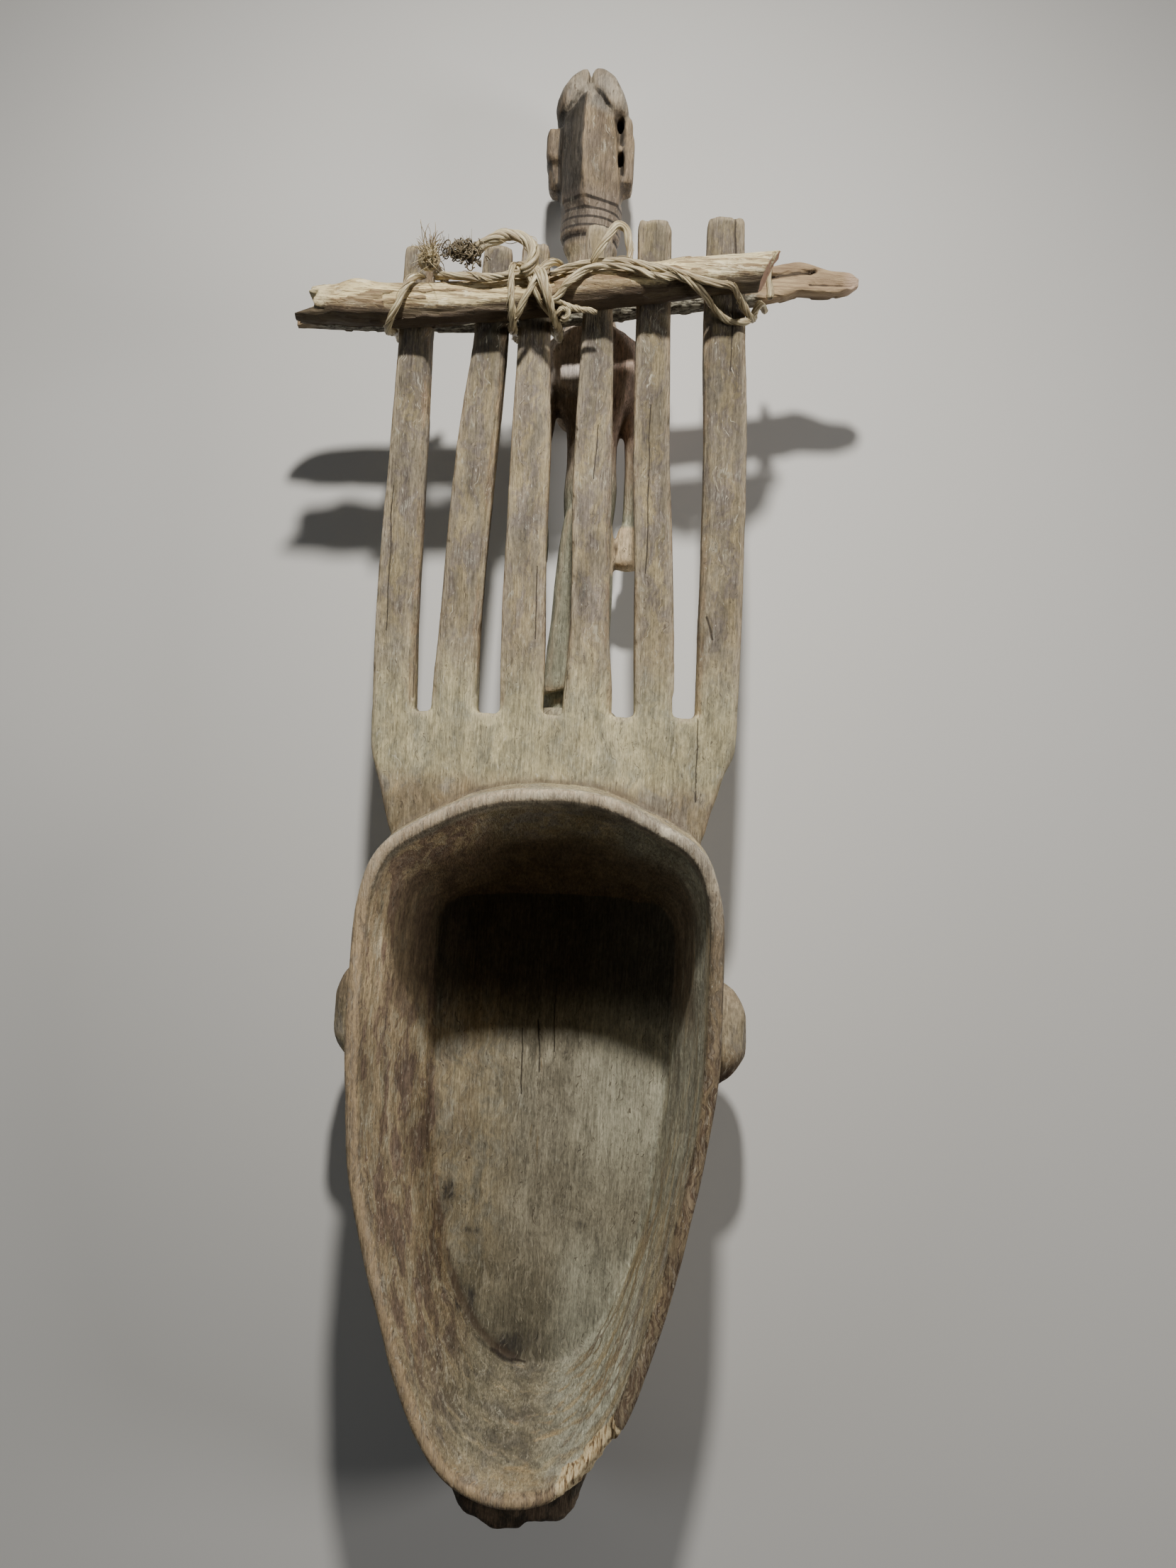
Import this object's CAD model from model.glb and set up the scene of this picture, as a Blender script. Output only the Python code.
# A carved wooden ntomo face mask of the Bamana, lying face down with its hollow back up.
# The shapes are worked out in carving millimetres: x from the centre line, y from the crown of the rim
# towards the comb, z up from the ground. The pieces are then moved to the frame, in metres.
import math

import bpy
import numpy as np
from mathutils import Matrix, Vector


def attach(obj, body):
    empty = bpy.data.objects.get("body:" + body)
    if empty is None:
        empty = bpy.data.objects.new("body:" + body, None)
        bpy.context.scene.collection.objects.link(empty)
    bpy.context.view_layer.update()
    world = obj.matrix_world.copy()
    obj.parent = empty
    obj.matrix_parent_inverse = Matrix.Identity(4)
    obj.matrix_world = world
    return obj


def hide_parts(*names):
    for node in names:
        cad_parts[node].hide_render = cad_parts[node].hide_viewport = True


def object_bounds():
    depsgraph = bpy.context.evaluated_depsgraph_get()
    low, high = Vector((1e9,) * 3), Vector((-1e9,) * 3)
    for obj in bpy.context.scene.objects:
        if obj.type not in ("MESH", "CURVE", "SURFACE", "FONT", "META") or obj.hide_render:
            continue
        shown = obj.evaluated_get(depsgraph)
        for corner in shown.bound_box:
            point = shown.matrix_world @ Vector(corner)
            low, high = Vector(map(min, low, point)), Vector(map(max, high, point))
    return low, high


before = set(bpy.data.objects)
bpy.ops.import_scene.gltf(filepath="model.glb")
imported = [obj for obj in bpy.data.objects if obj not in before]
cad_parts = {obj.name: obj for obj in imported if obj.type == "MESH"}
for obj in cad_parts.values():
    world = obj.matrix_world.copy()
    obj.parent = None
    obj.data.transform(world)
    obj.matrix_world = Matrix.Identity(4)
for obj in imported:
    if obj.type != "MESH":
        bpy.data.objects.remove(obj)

CAD_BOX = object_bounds()

# Driving dimensions, in millimetres
RIM_HEIGHT = 118  # from the ground to the rim
HOLLOW_DEPTH = 85.5
STEP_HEIGHT = 3.8  # the cut step round the lower end of the floor
STEP_HIGHER_UP = 0.7
FLOOR_DISH = 3.5  # how much the floor is hollowed towards its middle
LIP = 5.2
COMB_BACK = 34  # depth of the comb's back face under the rim
PRONG_THICKNESS = 12
STICK_RADIUS = 8.2
LATH_THICKNESS = 9.5
LATH_HALF_HEIGHT = 7.4
CORD_RADIUS = 1.5
CORD_STANDOFF = 1.25  # between a bar's surface and a cord round it
GAP = 0.35  # between a bar and the prongs
CARVING_ORIGIN = (-0.7, 3.4, 0)  # from carving to frame coordinates
VOXEL = 0.95  # the carving's mesh size before it is thinned out
MOST_TRIANGLES = 196000

STICK_DEPTH = COMB_BACK - GAP - STICK_RADIUS
LATH_DEPTH = COMB_BACK + PRONG_THICKNESS + GAP + LATH_THICKNESS / 2

# Camera and studio

CAMERA_PLACE = (17.27, 1.03, RIM_HEIGHT + 455)  # above the crown of the rim, a little to the right
CAMERA_ROLL = 3.4  # degrees
CAMERA_REACH = 1661  # the lens's focal length, in pixels of the photograph
PHOTO_HEIGHT = 2212
SENSOR = 36
# (name, place and aim in metres, size, power, colour, spread in degrees)
LIGHTS = [
    ("key_light", (0.002, 0.511, 0.497), (0, -0.2, 0.06), 0.04, 2.85, (1, 0.97, 0.91), 124),
    ("right_fill", (1.25, 0.05, 0.78), (0, 0, 0), 0.5, 6.5, (1, 0.97, 0.93), 180),
    ("left_fill", (-1.2, -0.1, 0.8), (0, 0, 0), 0.6, 2, (0.95, 0.98, 1), 180),
]
SKY_COLOUR = (0.9, 0.95, 1, 1)
SKY_STRENGTH = 0.018


def camera():
    data = bpy.data.cameras.new("camera")
    data.sensor_width = SENSOR
    data.lens = SENSOR * CAMERA_REACH / PHOTO_HEIGHT
    data.clip_start = 0.01
    view = bpy.data.objects.new("camera", data)
    view.location = tuple((value + shift) / 1000 for value, shift in zip(CAMERA_PLACE, CARVING_ORIGIN))
    view.rotation_euler = (0, 0, math.radians(CAMERA_ROLL))
    bpy.context.scene.collection.objects.link(view)
    bpy.context.scene.camera = view


def area_light(name, place, aim, size, power, colour, spread):
    data = bpy.data.lights.new(name, "AREA")
    data.shape = "DISK"
    data.size = size
    data.energy = power
    data.color = colour
    data.spread = math.radians(spread)
    lamp = bpy.data.objects.new(name, data)
    lamp.location = place
    lamp.visible_camera = False
    way = Vector(aim) - lamp.location
    lamp.rotation_euler = way.to_track_quat("-Z", "Y").to_euler()
    bpy.context.scene.collection.objects.link(lamp)


def studio():
    for light in LIGHTS:
        area_light(*light)
    world = bpy.data.worlds.new("studio")
    bpy.context.scene.world = world
    world.use_nodes = True
    background = world.node_tree.nodes["Background"]
    background.inputs["Color"].default_value = SKY_COLOUR
    background.inputs["Strength"].default_value = SKY_STRENGTH


# Curves, rings and noise

def catmull_rom(points, count, closed=False):
    """Points along a centripetal Catmull-Rom curve, the same number to each stretch."""
    points = np.array(points, float)
    number = len(points)
    place = np.arange(count) / count * number if closed else np.linspace(0, number - 1, count)
    start = np.minimum(place.astype(int), number - (1 if closed else 2))
    share = (place - start)[:, None]
    if closed:
        before, here, after, beyond = (points[(start + step) % number] for step in (-1, 0, 1, 2))
    else:
        longer = np.vstack([2 * points[0] - points[1], points, 2 * points[-1] - points[-2]])
        before, here, after, beyond = (longer[start + step] for step in range(4))

    def knot(first, second):
        return np.sqrt(np.maximum(np.linalg.norm(first - second, axis=1), 1e-4))[:, None]

    first, middle, last = knot(before, here), knot(here, after), knot(after, beyond)
    leave = ((here - before) / first - (after - before) / (first + middle)) * middle + (after - here)
    enter = (after - here) + ((beyond - after) / last - (beyond - here) / (middle + last)) * middle
    square = 3 * (after - here) - 2 * leave - enter
    cube = 2 * (here - after) + leave + enter
    return here + share * (leave + share * (square + share * cube))


def monotone(knots, values, samples):
    """A smooth curve through the values that never overshoots them."""
    knots, values = np.array(knots, float), np.array(values, float)
    slopes = np.diff(values) / np.diff(knots)
    tangents = np.zeros(len(values))
    tangents[0], tangents[-1] = slopes[0], slopes[-1]
    rising = slopes[:-1] * slopes[1:] > 0
    left, right = slopes[:-1][rising], slopes[1:][rising]
    tangents[1:-1][rising] = 2 * left * right / (left + right)
    place = np.clip(np.searchsorted(knots, samples, side="right") - 1, 0, len(knots) - 2)
    width = knots[place + 1] - knots[place]
    t = (samples - knots[place]) / width
    low, high = values[place], values[place + 1]
    rise = (3 - 2 * t) * t * t
    return (low + (high - low) * rise + (t ** 3 - 2 * t ** 2 + t) * width * tangents[place]
            + (t ** 3 - t ** 2) * width * tangents[place + 1])


def smoothstep(low, high, value):
    share = np.clip((value - low) / (high - low), 0, 1)
    return share * share * (3 - 2 * share)


# These scatter the cells of the noise
CELL_PRIMES = (73856093, 19349663, 83492791, 83943)
CELL_MIXER = 1274126177
CELL_BITS = 0x7FFFFFFF
CELL_STEPS = 65535


def scattered(cells, seed):
    """A whole number from 0 to CELL_STEPS for each cell, always the same for the same seed."""
    x_prime, y_prime, z_prime, seed_prime = CELL_PRIMES
    mixed = cells[:, 0] * x_prime ^ cells[:, 1] * y_prime ^ cells[:, 2] * z_prime ^ seed * seed_prime
    mixed = ((mixed ^ mixed >> 13) * CELL_MIXER) & CELL_BITS
    return (mixed ^ mixed >> 15) & CELL_STEPS


def noise(points, scale, seed):
    """Smooth noise between -1 and 1; the scale is one length, or one for each axis."""
    cell = points / np.array(scale, float)
    base = np.floor(cell).astype(np.int64)
    part = cell - base
    fade = part * part * (3 - 2 * part)
    value = np.zeros(len(points))
    for corner in np.ndindex(2, 2, 2):
        weight = np.prod(np.where(np.array(corner) == 1, fade, 1 - fade), axis=1)
        value += weight * (scattered(base + corner, seed) / (CELL_STEPS / 2) - 1)
    return value


def ring(centre, across, up, squareness=2.0, sides=48):
    """A superellipse round a centre; squareness 2 is an ellipse and larger is boxier."""
    angle = np.arange(sides) / sides * 2 * np.pi

    def bend(value):
        return np.sign(value) * np.abs(value) ** (2 / squareness)

    return (np.array(centre, float) + bend(np.cos(angle))[:, None] * np.array(across, float)
            + bend(np.sin(angle))[:, None] * np.array(up, float))


def outline(points, sides):
    flat = catmull_rom(points, sides, closed=True)
    return np.column_stack([flat, np.zeros(sides)])


# Meshes: a shell is (points, faces) of one closed skin

def height(depth):
    return RIM_HEIGHT - depth


def at(x, y, depth):
    return np.array([x, y, height(depth)], float)


def loft(rings):
    """A closed skin over rings of equal length, with a fan over each end."""
    rings = np.array(rings)
    count, sides = rings.shape[:2]
    points = np.vstack([rings.reshape(-1, 3), rings[0].mean(0), rings[-1].mean(0)])
    near = np.arange(sides)
    after = (near + 1) % sides
    faces = []
    for row in range(count - 1):
        low, high = row * sides, (row + 1) * sides
        faces += np.column_stack([near + low, after + low, after + high, near + high]).tolist()
    first, last, top = count * sides, count * sides + 1, (count - 1) * sides
    faces += np.column_stack([np.full(sides, first), after, near]).tolist()
    faces += np.column_stack([np.full(sides, last), near + top, after + top]).tolist()
    return points, faces


def outward(shell):
    """The shell with its faces turned outwards."""
    points, faces = shell
    corners = np.array([(face[0], face[1], face[2]) for face in faces])
    more = np.array([(face[0], face[2], face[3]) for face in faces if len(face) == 4]).reshape(-1, 3)
    a, b, c = points[np.vstack([corners, more])].transpose(1, 0, 2)
    volume = np.einsum("ij,ij", a, np.cross(b, c))
    return (points, faces) if volume > 0 else (points, [face[::-1] for face in faces])


def together(shells):
    points, faces, start = [], [], 0
    for part, sides in shells:
        points.append(part)
        faces += [[index + start for index in face] for face in sides]
        start += len(part)
    return np.vstack(points), faces


def limb(stations, squareness=2.0, sides=40, step=2.0, lean=0.0, chamfer=0.0):
    """A limb along Y through stations (y, x, depth, half width, half depth), smooth between them."""
    stations = np.array(stations, float)
    way = np.abs(np.diff(stations, axis=0)).max(axis=1).cumsum()
    knots = np.concatenate([[0], way])
    samples = np.linspace(0, knots[-1], max(4, int(knots[-1] / step) + 1))
    smooth = [monotone(knots, column, samples) for column in stations.T]
    rings = []
    for y, x, depth, wide, deep in zip(*smooth):
        section = ring((0, 0, 0), (wide, 0, 0), (0, 0, deep), squareness, sides)
        if chamfer:
            over = np.abs(section[:, 0]) + np.abs(section[:, 2]) - (wide + deep - chamfer)
            trim = np.maximum(over, 0)[:, None] / 2
            section -= np.sign(section) * trim * (1, 0, 1)
        section[:, 1] = section[:, 0] * lean
        rings.append(section + at(x, y, depth))
    return loft(rings)


def ellipsoid(centre, radii, turn=0.0, sides=36):
    angles = np.linspace(-np.pi / 2, np.pi / 2, sides // 2 + 1)[1:-1]
    rings = [ring((0, np.sin(a), 0), (np.cos(a), 0, 0), (0, 0, np.cos(a)), 2, sides) for a in angles]
    points, faces = loft(rings)
    points[-2], points[-1] = (0, -1, 0), (0, 1, 0)
    points = points * radii
    c, s = math.cos(turn), math.sin(turn)
    points = points @ np.array([[c, s, 0], [-s, c, 0], [0, 0, 1]])
    return points + at(*centre), faces


def turned(points, turn, back=False):
    """The points turned about X, then Y, then Z, or turned back again."""
    points = points.copy()
    turns = list(zip(turn, ((1, 2), (2, 0), (0, 1))))
    for angle, (first, second) in turns[::-1] if back else turns:
        cosine = math.cos(angle)
        sine = math.sin(-angle if back else angle)
        a, b = points[:, first].copy(), points[:, second].copy()
        points[:, first] = a * cosine - b * sine
        points[:, second] = a * sine + b * cosine
    return points


def box(size, turn, centre):
    """A box of the full size, turned about its centre."""
    corners = np.array([(x, y, z) for x in (-1, 1) for y in (-1, 1) for z in (-1, 1)], float)
    faces = [[0, 1, 3, 2], [4, 6, 7, 5], [0, 4, 5, 1], [2, 3, 7, 6], [0, 2, 6, 4], [1, 5, 7, 3]]
    return turned(corners * np.array(size) / 2, turn) + np.array(centre), faces


def mesh_of(name, shell):
    points, faces = shell
    mesh = bpy.data.meshes.new(name)
    mesh.from_pydata(points.tolist(), [], faces)
    mesh.validate()
    return mesh


def loose_object(name, shell):
    thing = bpy.data.objects.new(name, mesh_of(name, shell))
    bpy.context.scene.collection.objects.link(thing)
    return thing


def applied(thing):
    """Applies the thing's modifiers to its mesh."""
    evaluated = thing.evaluated_get(bpy.context.evaluated_depsgraph_get())
    mesh = bpy.data.meshes.new_from_object(evaluated)
    thing.modifiers.clear()
    thing.data = mesh


def remeshed(thing, size):
    modifier = thing.modifiers.new("skin", "REMESH")
    modifier.mode = "VOXEL"
    modifier.voxel_size = size
    applied(thing)


def thinned(thing, most):
    """Fewer triangles where the surface is flat, up to the most that are allowed."""
    modifier = thing.modifiers.new("thin", "DECIMATE")
    modifier.ratio = min(1, most / triangles_of(thing.data))
    applied(thing)


def cut(thing, shell):
    """Cuts a shell out of the thing."""
    tool = loose_object("tool", outward(shell))
    modifier = thing.modifiers.new("cut", "BOOLEAN")
    modifier.operation = "DIFFERENCE"
    modifier.solver = "MANIFOLD"
    modifier.object = tool
    applied(thing)
    bpy.data.objects.remove(tool)


def rows(things, field, kind, width):
    """One field of all of a mesh's vertices, normals or edges, a row to each."""
    values = np.empty(len(things) * width, kind)
    things.foreach_get(field, values)
    return values.reshape(-1, width)


def coordinates(mesh):
    return rows(mesh.vertices, "co", np.float32, 3).astype(float)


def move_points(mesh, points):
    mesh.vertices.foreach_set("co", points.astype(np.float32).ravel())
    mesh.update()


def keep_on(mesh, name, values, kind="FLOAT", field="value"):
    """Keeps a value for each point on the mesh, for its material to read."""
    layer = mesh.attributes.new(name, kind, "POINT")
    layer.data.foreach_set(field, values.astype(np.float32).ravel())


def triangles_of(mesh):
    return sum(len(face.vertices) - 2 for face in mesh.polygons)


def neighbour_mean(values, ends):
    number = len(values)
    degree = np.maximum(np.bincount(ends.ravel(), minlength=number), 1)
    columns = values.reshape(number, -1)
    total = [np.bincount(ends[:, 0], columns[ends[:, 1], k], number)
             + np.bincount(ends[:, 1], columns[ends[:, 0], k], number) for k in range(columns.shape[1])]
    return (np.column_stack(total) / degree[:, None]).reshape(values.shape)


def smoothed(points, ends, rounds):
    """Taubin smoothing, which keeps the volume."""
    for _ in range(rounds):
        for share in (0.5, -0.52):
            points = points + share * (neighbour_mean(points, ends) - points)
    return points


# The carved mask

RIM = [
    (3, -1.8), (-23, -5.2), (-46, -16), (-63, -29), (-69.5, -47), (-71.3, -80), (-70.6, -115), (-66.8, -157),
    (-58.5, -190), (-48.9, -221.6), (-38.2, -249.5), (-25.2, -270), (-10, -280), (8, -282), (27.7, -273),
    (43.7, -252.3), (55.9, -218), (64.9, -180), (71.3, -144), (74.5, -115), (74.3, -75), (72, -42),
    (64, -23.5), (46.8, -12.6), (24.5, -3.5),
]
FLOOR = [
    (3, -49), (-15, -50), (-32, -52), (-42, -55), (-47, -63), (-48, -85), (-46.4, -119), (-44.5, -155),
    (-42, -185), (-35.6, -219), (-26, -241), (-13, -258), (-3, -263.5), (9, -266.5), (21, -264),
    (33, -254), (44, -232), (54, -200), (58.5, -167), (60.5, -134), (61.4, -100), (61, -64),
    (55, -53), (40, -49.5), (20, -49),
]
OUTLINE_SIDES = 200
AXIS_TOP = -75
AXIS_BOTTOM = -215
AXIS_X = 2
JAW_START = 215  # how far below the crown the jaw begins to run on
JAW_FULL = 285
WALL_CURVE = 1.25  # at 1 the hollow's walls would be straight
# (depth, spread from the axis, how far the jaw runs on below the rim)
OUTER_WALL = [
    (0, 1.0, 0), (5, 1.004, 0.5), (18, 1.016, 7), (38, 1.03, 19), (58, 1.025, 30), (74, 0.985, 32),
    (85, 0.93, 27), (93, 0.84, 19), (99, 0.7, 11), (102.5, 0.48, 4), (104, 0.22, 0),
]
# Each prong's (y, left edge, right edge), seen from the back
PRONGS = [
    [(30, -74.5, -57), (70, -75.3, -58.3), (133, -73.6, -58.3), (181, -72.6, -58.6), (221, -72, -60.6)],
    [(31, -49.9, -31), (59, -48.8, -31.5), (135, -46, -29.3), (184, -41.5, -27.4), (223, -39, -27.5)],
    [(33, -21.6, -3.4), (87, -23, -5.5), (136, -23, -6.6), (184, -23, -9.3), (225, -23.4, -12.2)],
    [(33, 4.6, 25.3), (67, 5.8, 22.3), (138, 3.1, 19.3), (190, 3.7, 16.4), (233.8, 3, 13.9)],
    [(33, 34.8, 51), (101, 30.9, 46.5), (139, 28.1, 43.4), (199, 25.9, 40), (237.3, 24.3, 38.2)],
    [(34, 60.4, 77.9), (76, 59.6, 77.2), (141, 57.5, 75.4), (200, 54.4, 71.1), (240.3, 53.4, 68.3)],
]
PRONG_TILTS = (0.11, 0.05, 0.02, 0.03, -0.02, 0.0)  # how far each prong's top end slants
# The bevels of each prong, on the left and the right of its back face
PRONG_BEVELS = [(1.2, 3.4), (1.6, 3.0), (1.3, 2.2), (1.2, 3.0), (1.6, 1.9), (3.0, 1.4)]
FIGURE_X = 8.8

# The ears as (side, x of the wall there, half width)
EARS = [(1, 74.4, 18), (-1, -70.4, 16.6)]


def spine_of(points):
    """The nearest points on the mask's long inner axis."""
    return np.column_stack([np.full(len(points), AXIS_X), np.clip(points[:, 1], AXIS_BOTTOM, AXIS_TOP),
                            np.zeros(len(points))])


def outer_wall():
    """The outside of the block, from the rim down to the face."""
    rim = outline(RIM, OUTLINE_SIDES)
    spine = spine_of(rim)
    low = smoothstep(JAW_START, JAW_FULL, -rim[:, 1])
    depths, spreads, jaws = np.array(OUTER_WALL, float).T
    rings = []
    # The rings are closer together where the wall turns under the face
    for depth in np.concatenate([np.arange(0, 96, 3), np.linspace(96, 104, 9)]):
        spread = monotone(depths, spreads, np.array([depth]))[0]
        jaw = monotone(depths, jaws, np.array([depth]))[0]
        section = spine + (rim - spine) * spread
        section[:, 1] -= jaw * low
        section[:, 2] = height(depth)
        rings.append(section)
    return loft(rings)


CUT_ZONE = (-150, -225)  # the floor is cut deeper beyond this stretch of y


def hollow():
    """What is cut out of the block: the hollow's curved walls and its floor."""
    rim = outline(RIM, OUTLINE_SIDES)
    spine = spine_of(rim)
    reach = rim - spine
    length = np.linalg.norm(reach, axis=1)[:, None]
    lip = spine + reach * (1 - LIP / length)
    base = outline(FLOOR, OUTLINE_SIDES)
    wall_depth = HOLLOW_DEPTH - STEP_HEIGHT

    def wall_ring(depth, share):
        points = lip + (base - lip) * share
        dished = FLOOR_DISH * (1 - smoothstep(*CUT_ZONE, base[:, 1]))
        points[:, 2] = height(depth - dished * np.clip(depth / wall_depth, 0, 1) ** 3)
        return points

    def floor_ring(share):
        points = spine_of(base) + (base - spine_of(base)) * share
        lower = smoothstep(*CUT_ZONE, points[:, 1])
        step = STEP_HIGHER_UP + (STEP_HEIGHT - STEP_HIGHER_UP) * lower
        dish = FLOOR_DISH * (1 - share ** 2) * (1 - lower)
        points[:, 2] = height(wall_depth - FLOOR_DISH * (1 - lower) + step + dish)
        return points

    wall = [wall_ring(part * wall_depth, part ** WALL_CURVE) for part in np.linspace(0, 1, 37)]
    bottom = [floor_ring(share) for share in (0.985, 0.8, 0.6, 0.4, 0.2, 0.05)]
    # The first ring lies above the rim, so that the cut is open at the top
    return loft([wall_ring(-5, -0.01), *wall, *bottom])


PRONG_FOOT = 17  # where each prong starts, inside the comb's plate
TOP_BEVEL = 0.8  # round the cut across a prong's top
LOW_BEVEL = 1.6  # along a prong's edges on the side that faces the ground


def prong(edges, bevels, tilt):
    """A slat with flat faces, bevelled edges and a straight cut across its top."""
    _, left_foot, right_foot = edges[0]
    table = np.array([(PRONG_FOOT, left_foot + 1, right_foot - 1), *edges], float)
    top = table[-1, 0]
    places = np.append(np.arange(PRONG_FOOT, top - TOP_BEVEL, 2), top - TOP_BEVEL)
    lefts, rights = (monotone(table[:, 0], table[:, k], places) for k in (1, 2))
    halves = np.interp(places, (PRONG_FOOT, 45, 240), (6, 6.5, 5.9))
    middle = COMB_BACK + PRONG_THICKNESS / 2

    def section(y, left, right, half, trim):
        near, far = bevels
        left, right = left + trim, right - trim
        low, high = height(middle + half - trim), height(middle - half + trim)
        corners = [(left + near, high), (right - far, high), (right, high - far * 0.8),
                   (right, low + LOW_BEVEL), (right - LOW_BEVEL, low), (left + LOW_BEVEL, low),
                   (left, low + LOW_BEVEL), (left, high - near * 0.8)]
        lean = tilt * smoothstep(150, 220, y)
        return [(x, y + lean * (x - (left + right) / 2), z) for x, z in corners]

    rings = [section(y, left, right, half, 0) for y, left, right, half in zip(places, lefts, rights, halves)]
    return loft([*rings, section(top, lefts[-1], rights[-1], halves[-1], TOP_BEVEL)])


def comb():
    plate = limb([
        (-34, 0.5, 50, 58, 10), (-22, 1, 45, 65.5, 11), (-9, 1, 43, 69, 9.5), (5, 0.8, 41.5, 73, 8),
        (16, 1.7, 41, 76.3, 7.4), (28, 1.6, 40.6, 76.6, 6.9), (29, 1.6, 40.6, 76.6, 6.8),
    ], squareness=9, sides=96, lean=0.03, chamfer=2.4)
    return [plate, *map(prong, PRONGS, PRONG_BEVELS, PRONG_TILTS)]


def carved_face():
    """A calm, plain face on the side that lies on the ground."""
    parts = [
        ellipsoid((AXIS_X, -46, 86), (57, 60, 33.5), sides=64),
        ellipsoid((AXIS_X + 1, -266, 90), (33, 30, 17)),
        limb([
            (-92, 2, 100, 5, 9), (-108, 2, 101, 5.6, 12.5), (-140, 2.1, 101, 7.4, 15.4),
            (-166, 2.2, 101, 10.5, 18), (-180, 2.3, 101, 14, 18.4), (-187, 2.3, 100, 13.4, 16.4),
            (-190, 2.3, 99, 10, 11),
        ], squareness=2.3),
    ]
    for side in (-1, 1):
        parts += [
            ellipsoid((AXIS_X + side * 28, -100, 97), (30, 6.5, 13.5), turn=-side * 0.16),
            ellipsoid((AXIS_X + side * 27, -121, 101), (15, 7, 8.4)),
            ellipsoid((AXIS_X + side * 40, -160, 88), (20, 34, 13)),
            ellipsoid((AXIS_X + 0.4, -223 + side * 4, 101), (17, 4.3, 9)),
        ]
    return parts


def ear(wall_x, reach):
    wide = (6, 12.5, reach, reach + 0.6, reach - 4, 7)
    deep = (6, 11, 14, 14.5, 12.5, 7)
    return limb([(y, wall_x, 64, w, d) for y, w, d in zip((-82, -86, -97, -111, -121, -127), wide, deep)],
                squareness=3.2)


def facets(stations):
    """A shape along Y through stations (y, [corners (x, depth)]), with its corner lines kept crisp."""
    places = np.array([y for y, _ in stations], float)
    corners = np.array([section for _, section in stations], float)
    samples = np.linspace(places[0], places[-1], 40)
    smooth = [[monotone(places, corner[:, axis], samples) for axis in (0, 1)]
              for corner in corners.transpose(1, 0, 2)]
    return loft([[(x[row], y, height(depth[row])) for x, depth in smooth] for row, y in enumerate(samples)])


def slab(edge, levels, middle=None):
    """An outline (x, y) raised through levels (depth, size, shift of its middle in x)."""
    edge = np.array(edge, float)
    middle = edge.mean(0) if middle is None else np.array(middle)
    rings = []
    for depth, size, shift in levels:
        flat = middle + (edge - middle) * size + (shift, 0)
        rings.append(np.column_stack([flat, np.full(len(flat), height(depth))]))
    return loft(rings)


def jaw_stump():
    shape = np.array([
        (-27, -290), (-27.5, -306), (-24.5, -314), (-20, -322), (-9, -326.6), (-3, -328.4), (7, -328),
        (10, -324.4), (19, -324.8), (25.5, -323.6), (29, -319), (35.5, -303), (39, -288), (20, -280),
        (-12, -280),
    ], float)
    sides = zip(shape, np.roll(shape, -1, 0))
    edge = np.vstack([np.linspace(first, second, 5)[:-1] for first, second in sides])
    return slab(edge, [(93, 0.84, 0), (90, 0.95, 0), (87, 0.99, 0), (64, 1, 0), (61, 0.97, 0), (59, 0.88, 0)],
                (4, -300))


LEFT_LOBE = [
    (-0.6, 318.6), (-1.4, 320.6), (-3.4, 320.6), (-8.9, 317.2), (-13.2, 311.6), (-15.2, 305), (-14.6, 301),
    (-12.4, 299.6), (-10.4, 300.2), (-8.1, 303.1), (-5.2, 307), (-1.6, 310.6),
]
RIGHT_LOBE = [
    (0.7, 318.6), (1.8, 321), (4, 321.2), (7, 320.6), (11.8, 317.2), (15.6, 311), (18, 304.6), (17.6, 301),
    (15.6, 299.8), (11.9, 300.2), (9.2, 302.4), (6.2, 307), (1.4, 310.8),
]
LOBE_LEVELS = [(100, 0.8, 1), (92, 0.97, 0.3), (78, 1, 0), (72.5, 0.95, 0.3), (69, 0.82, 1), (67.2, 0.6, 1.8)]


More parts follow.
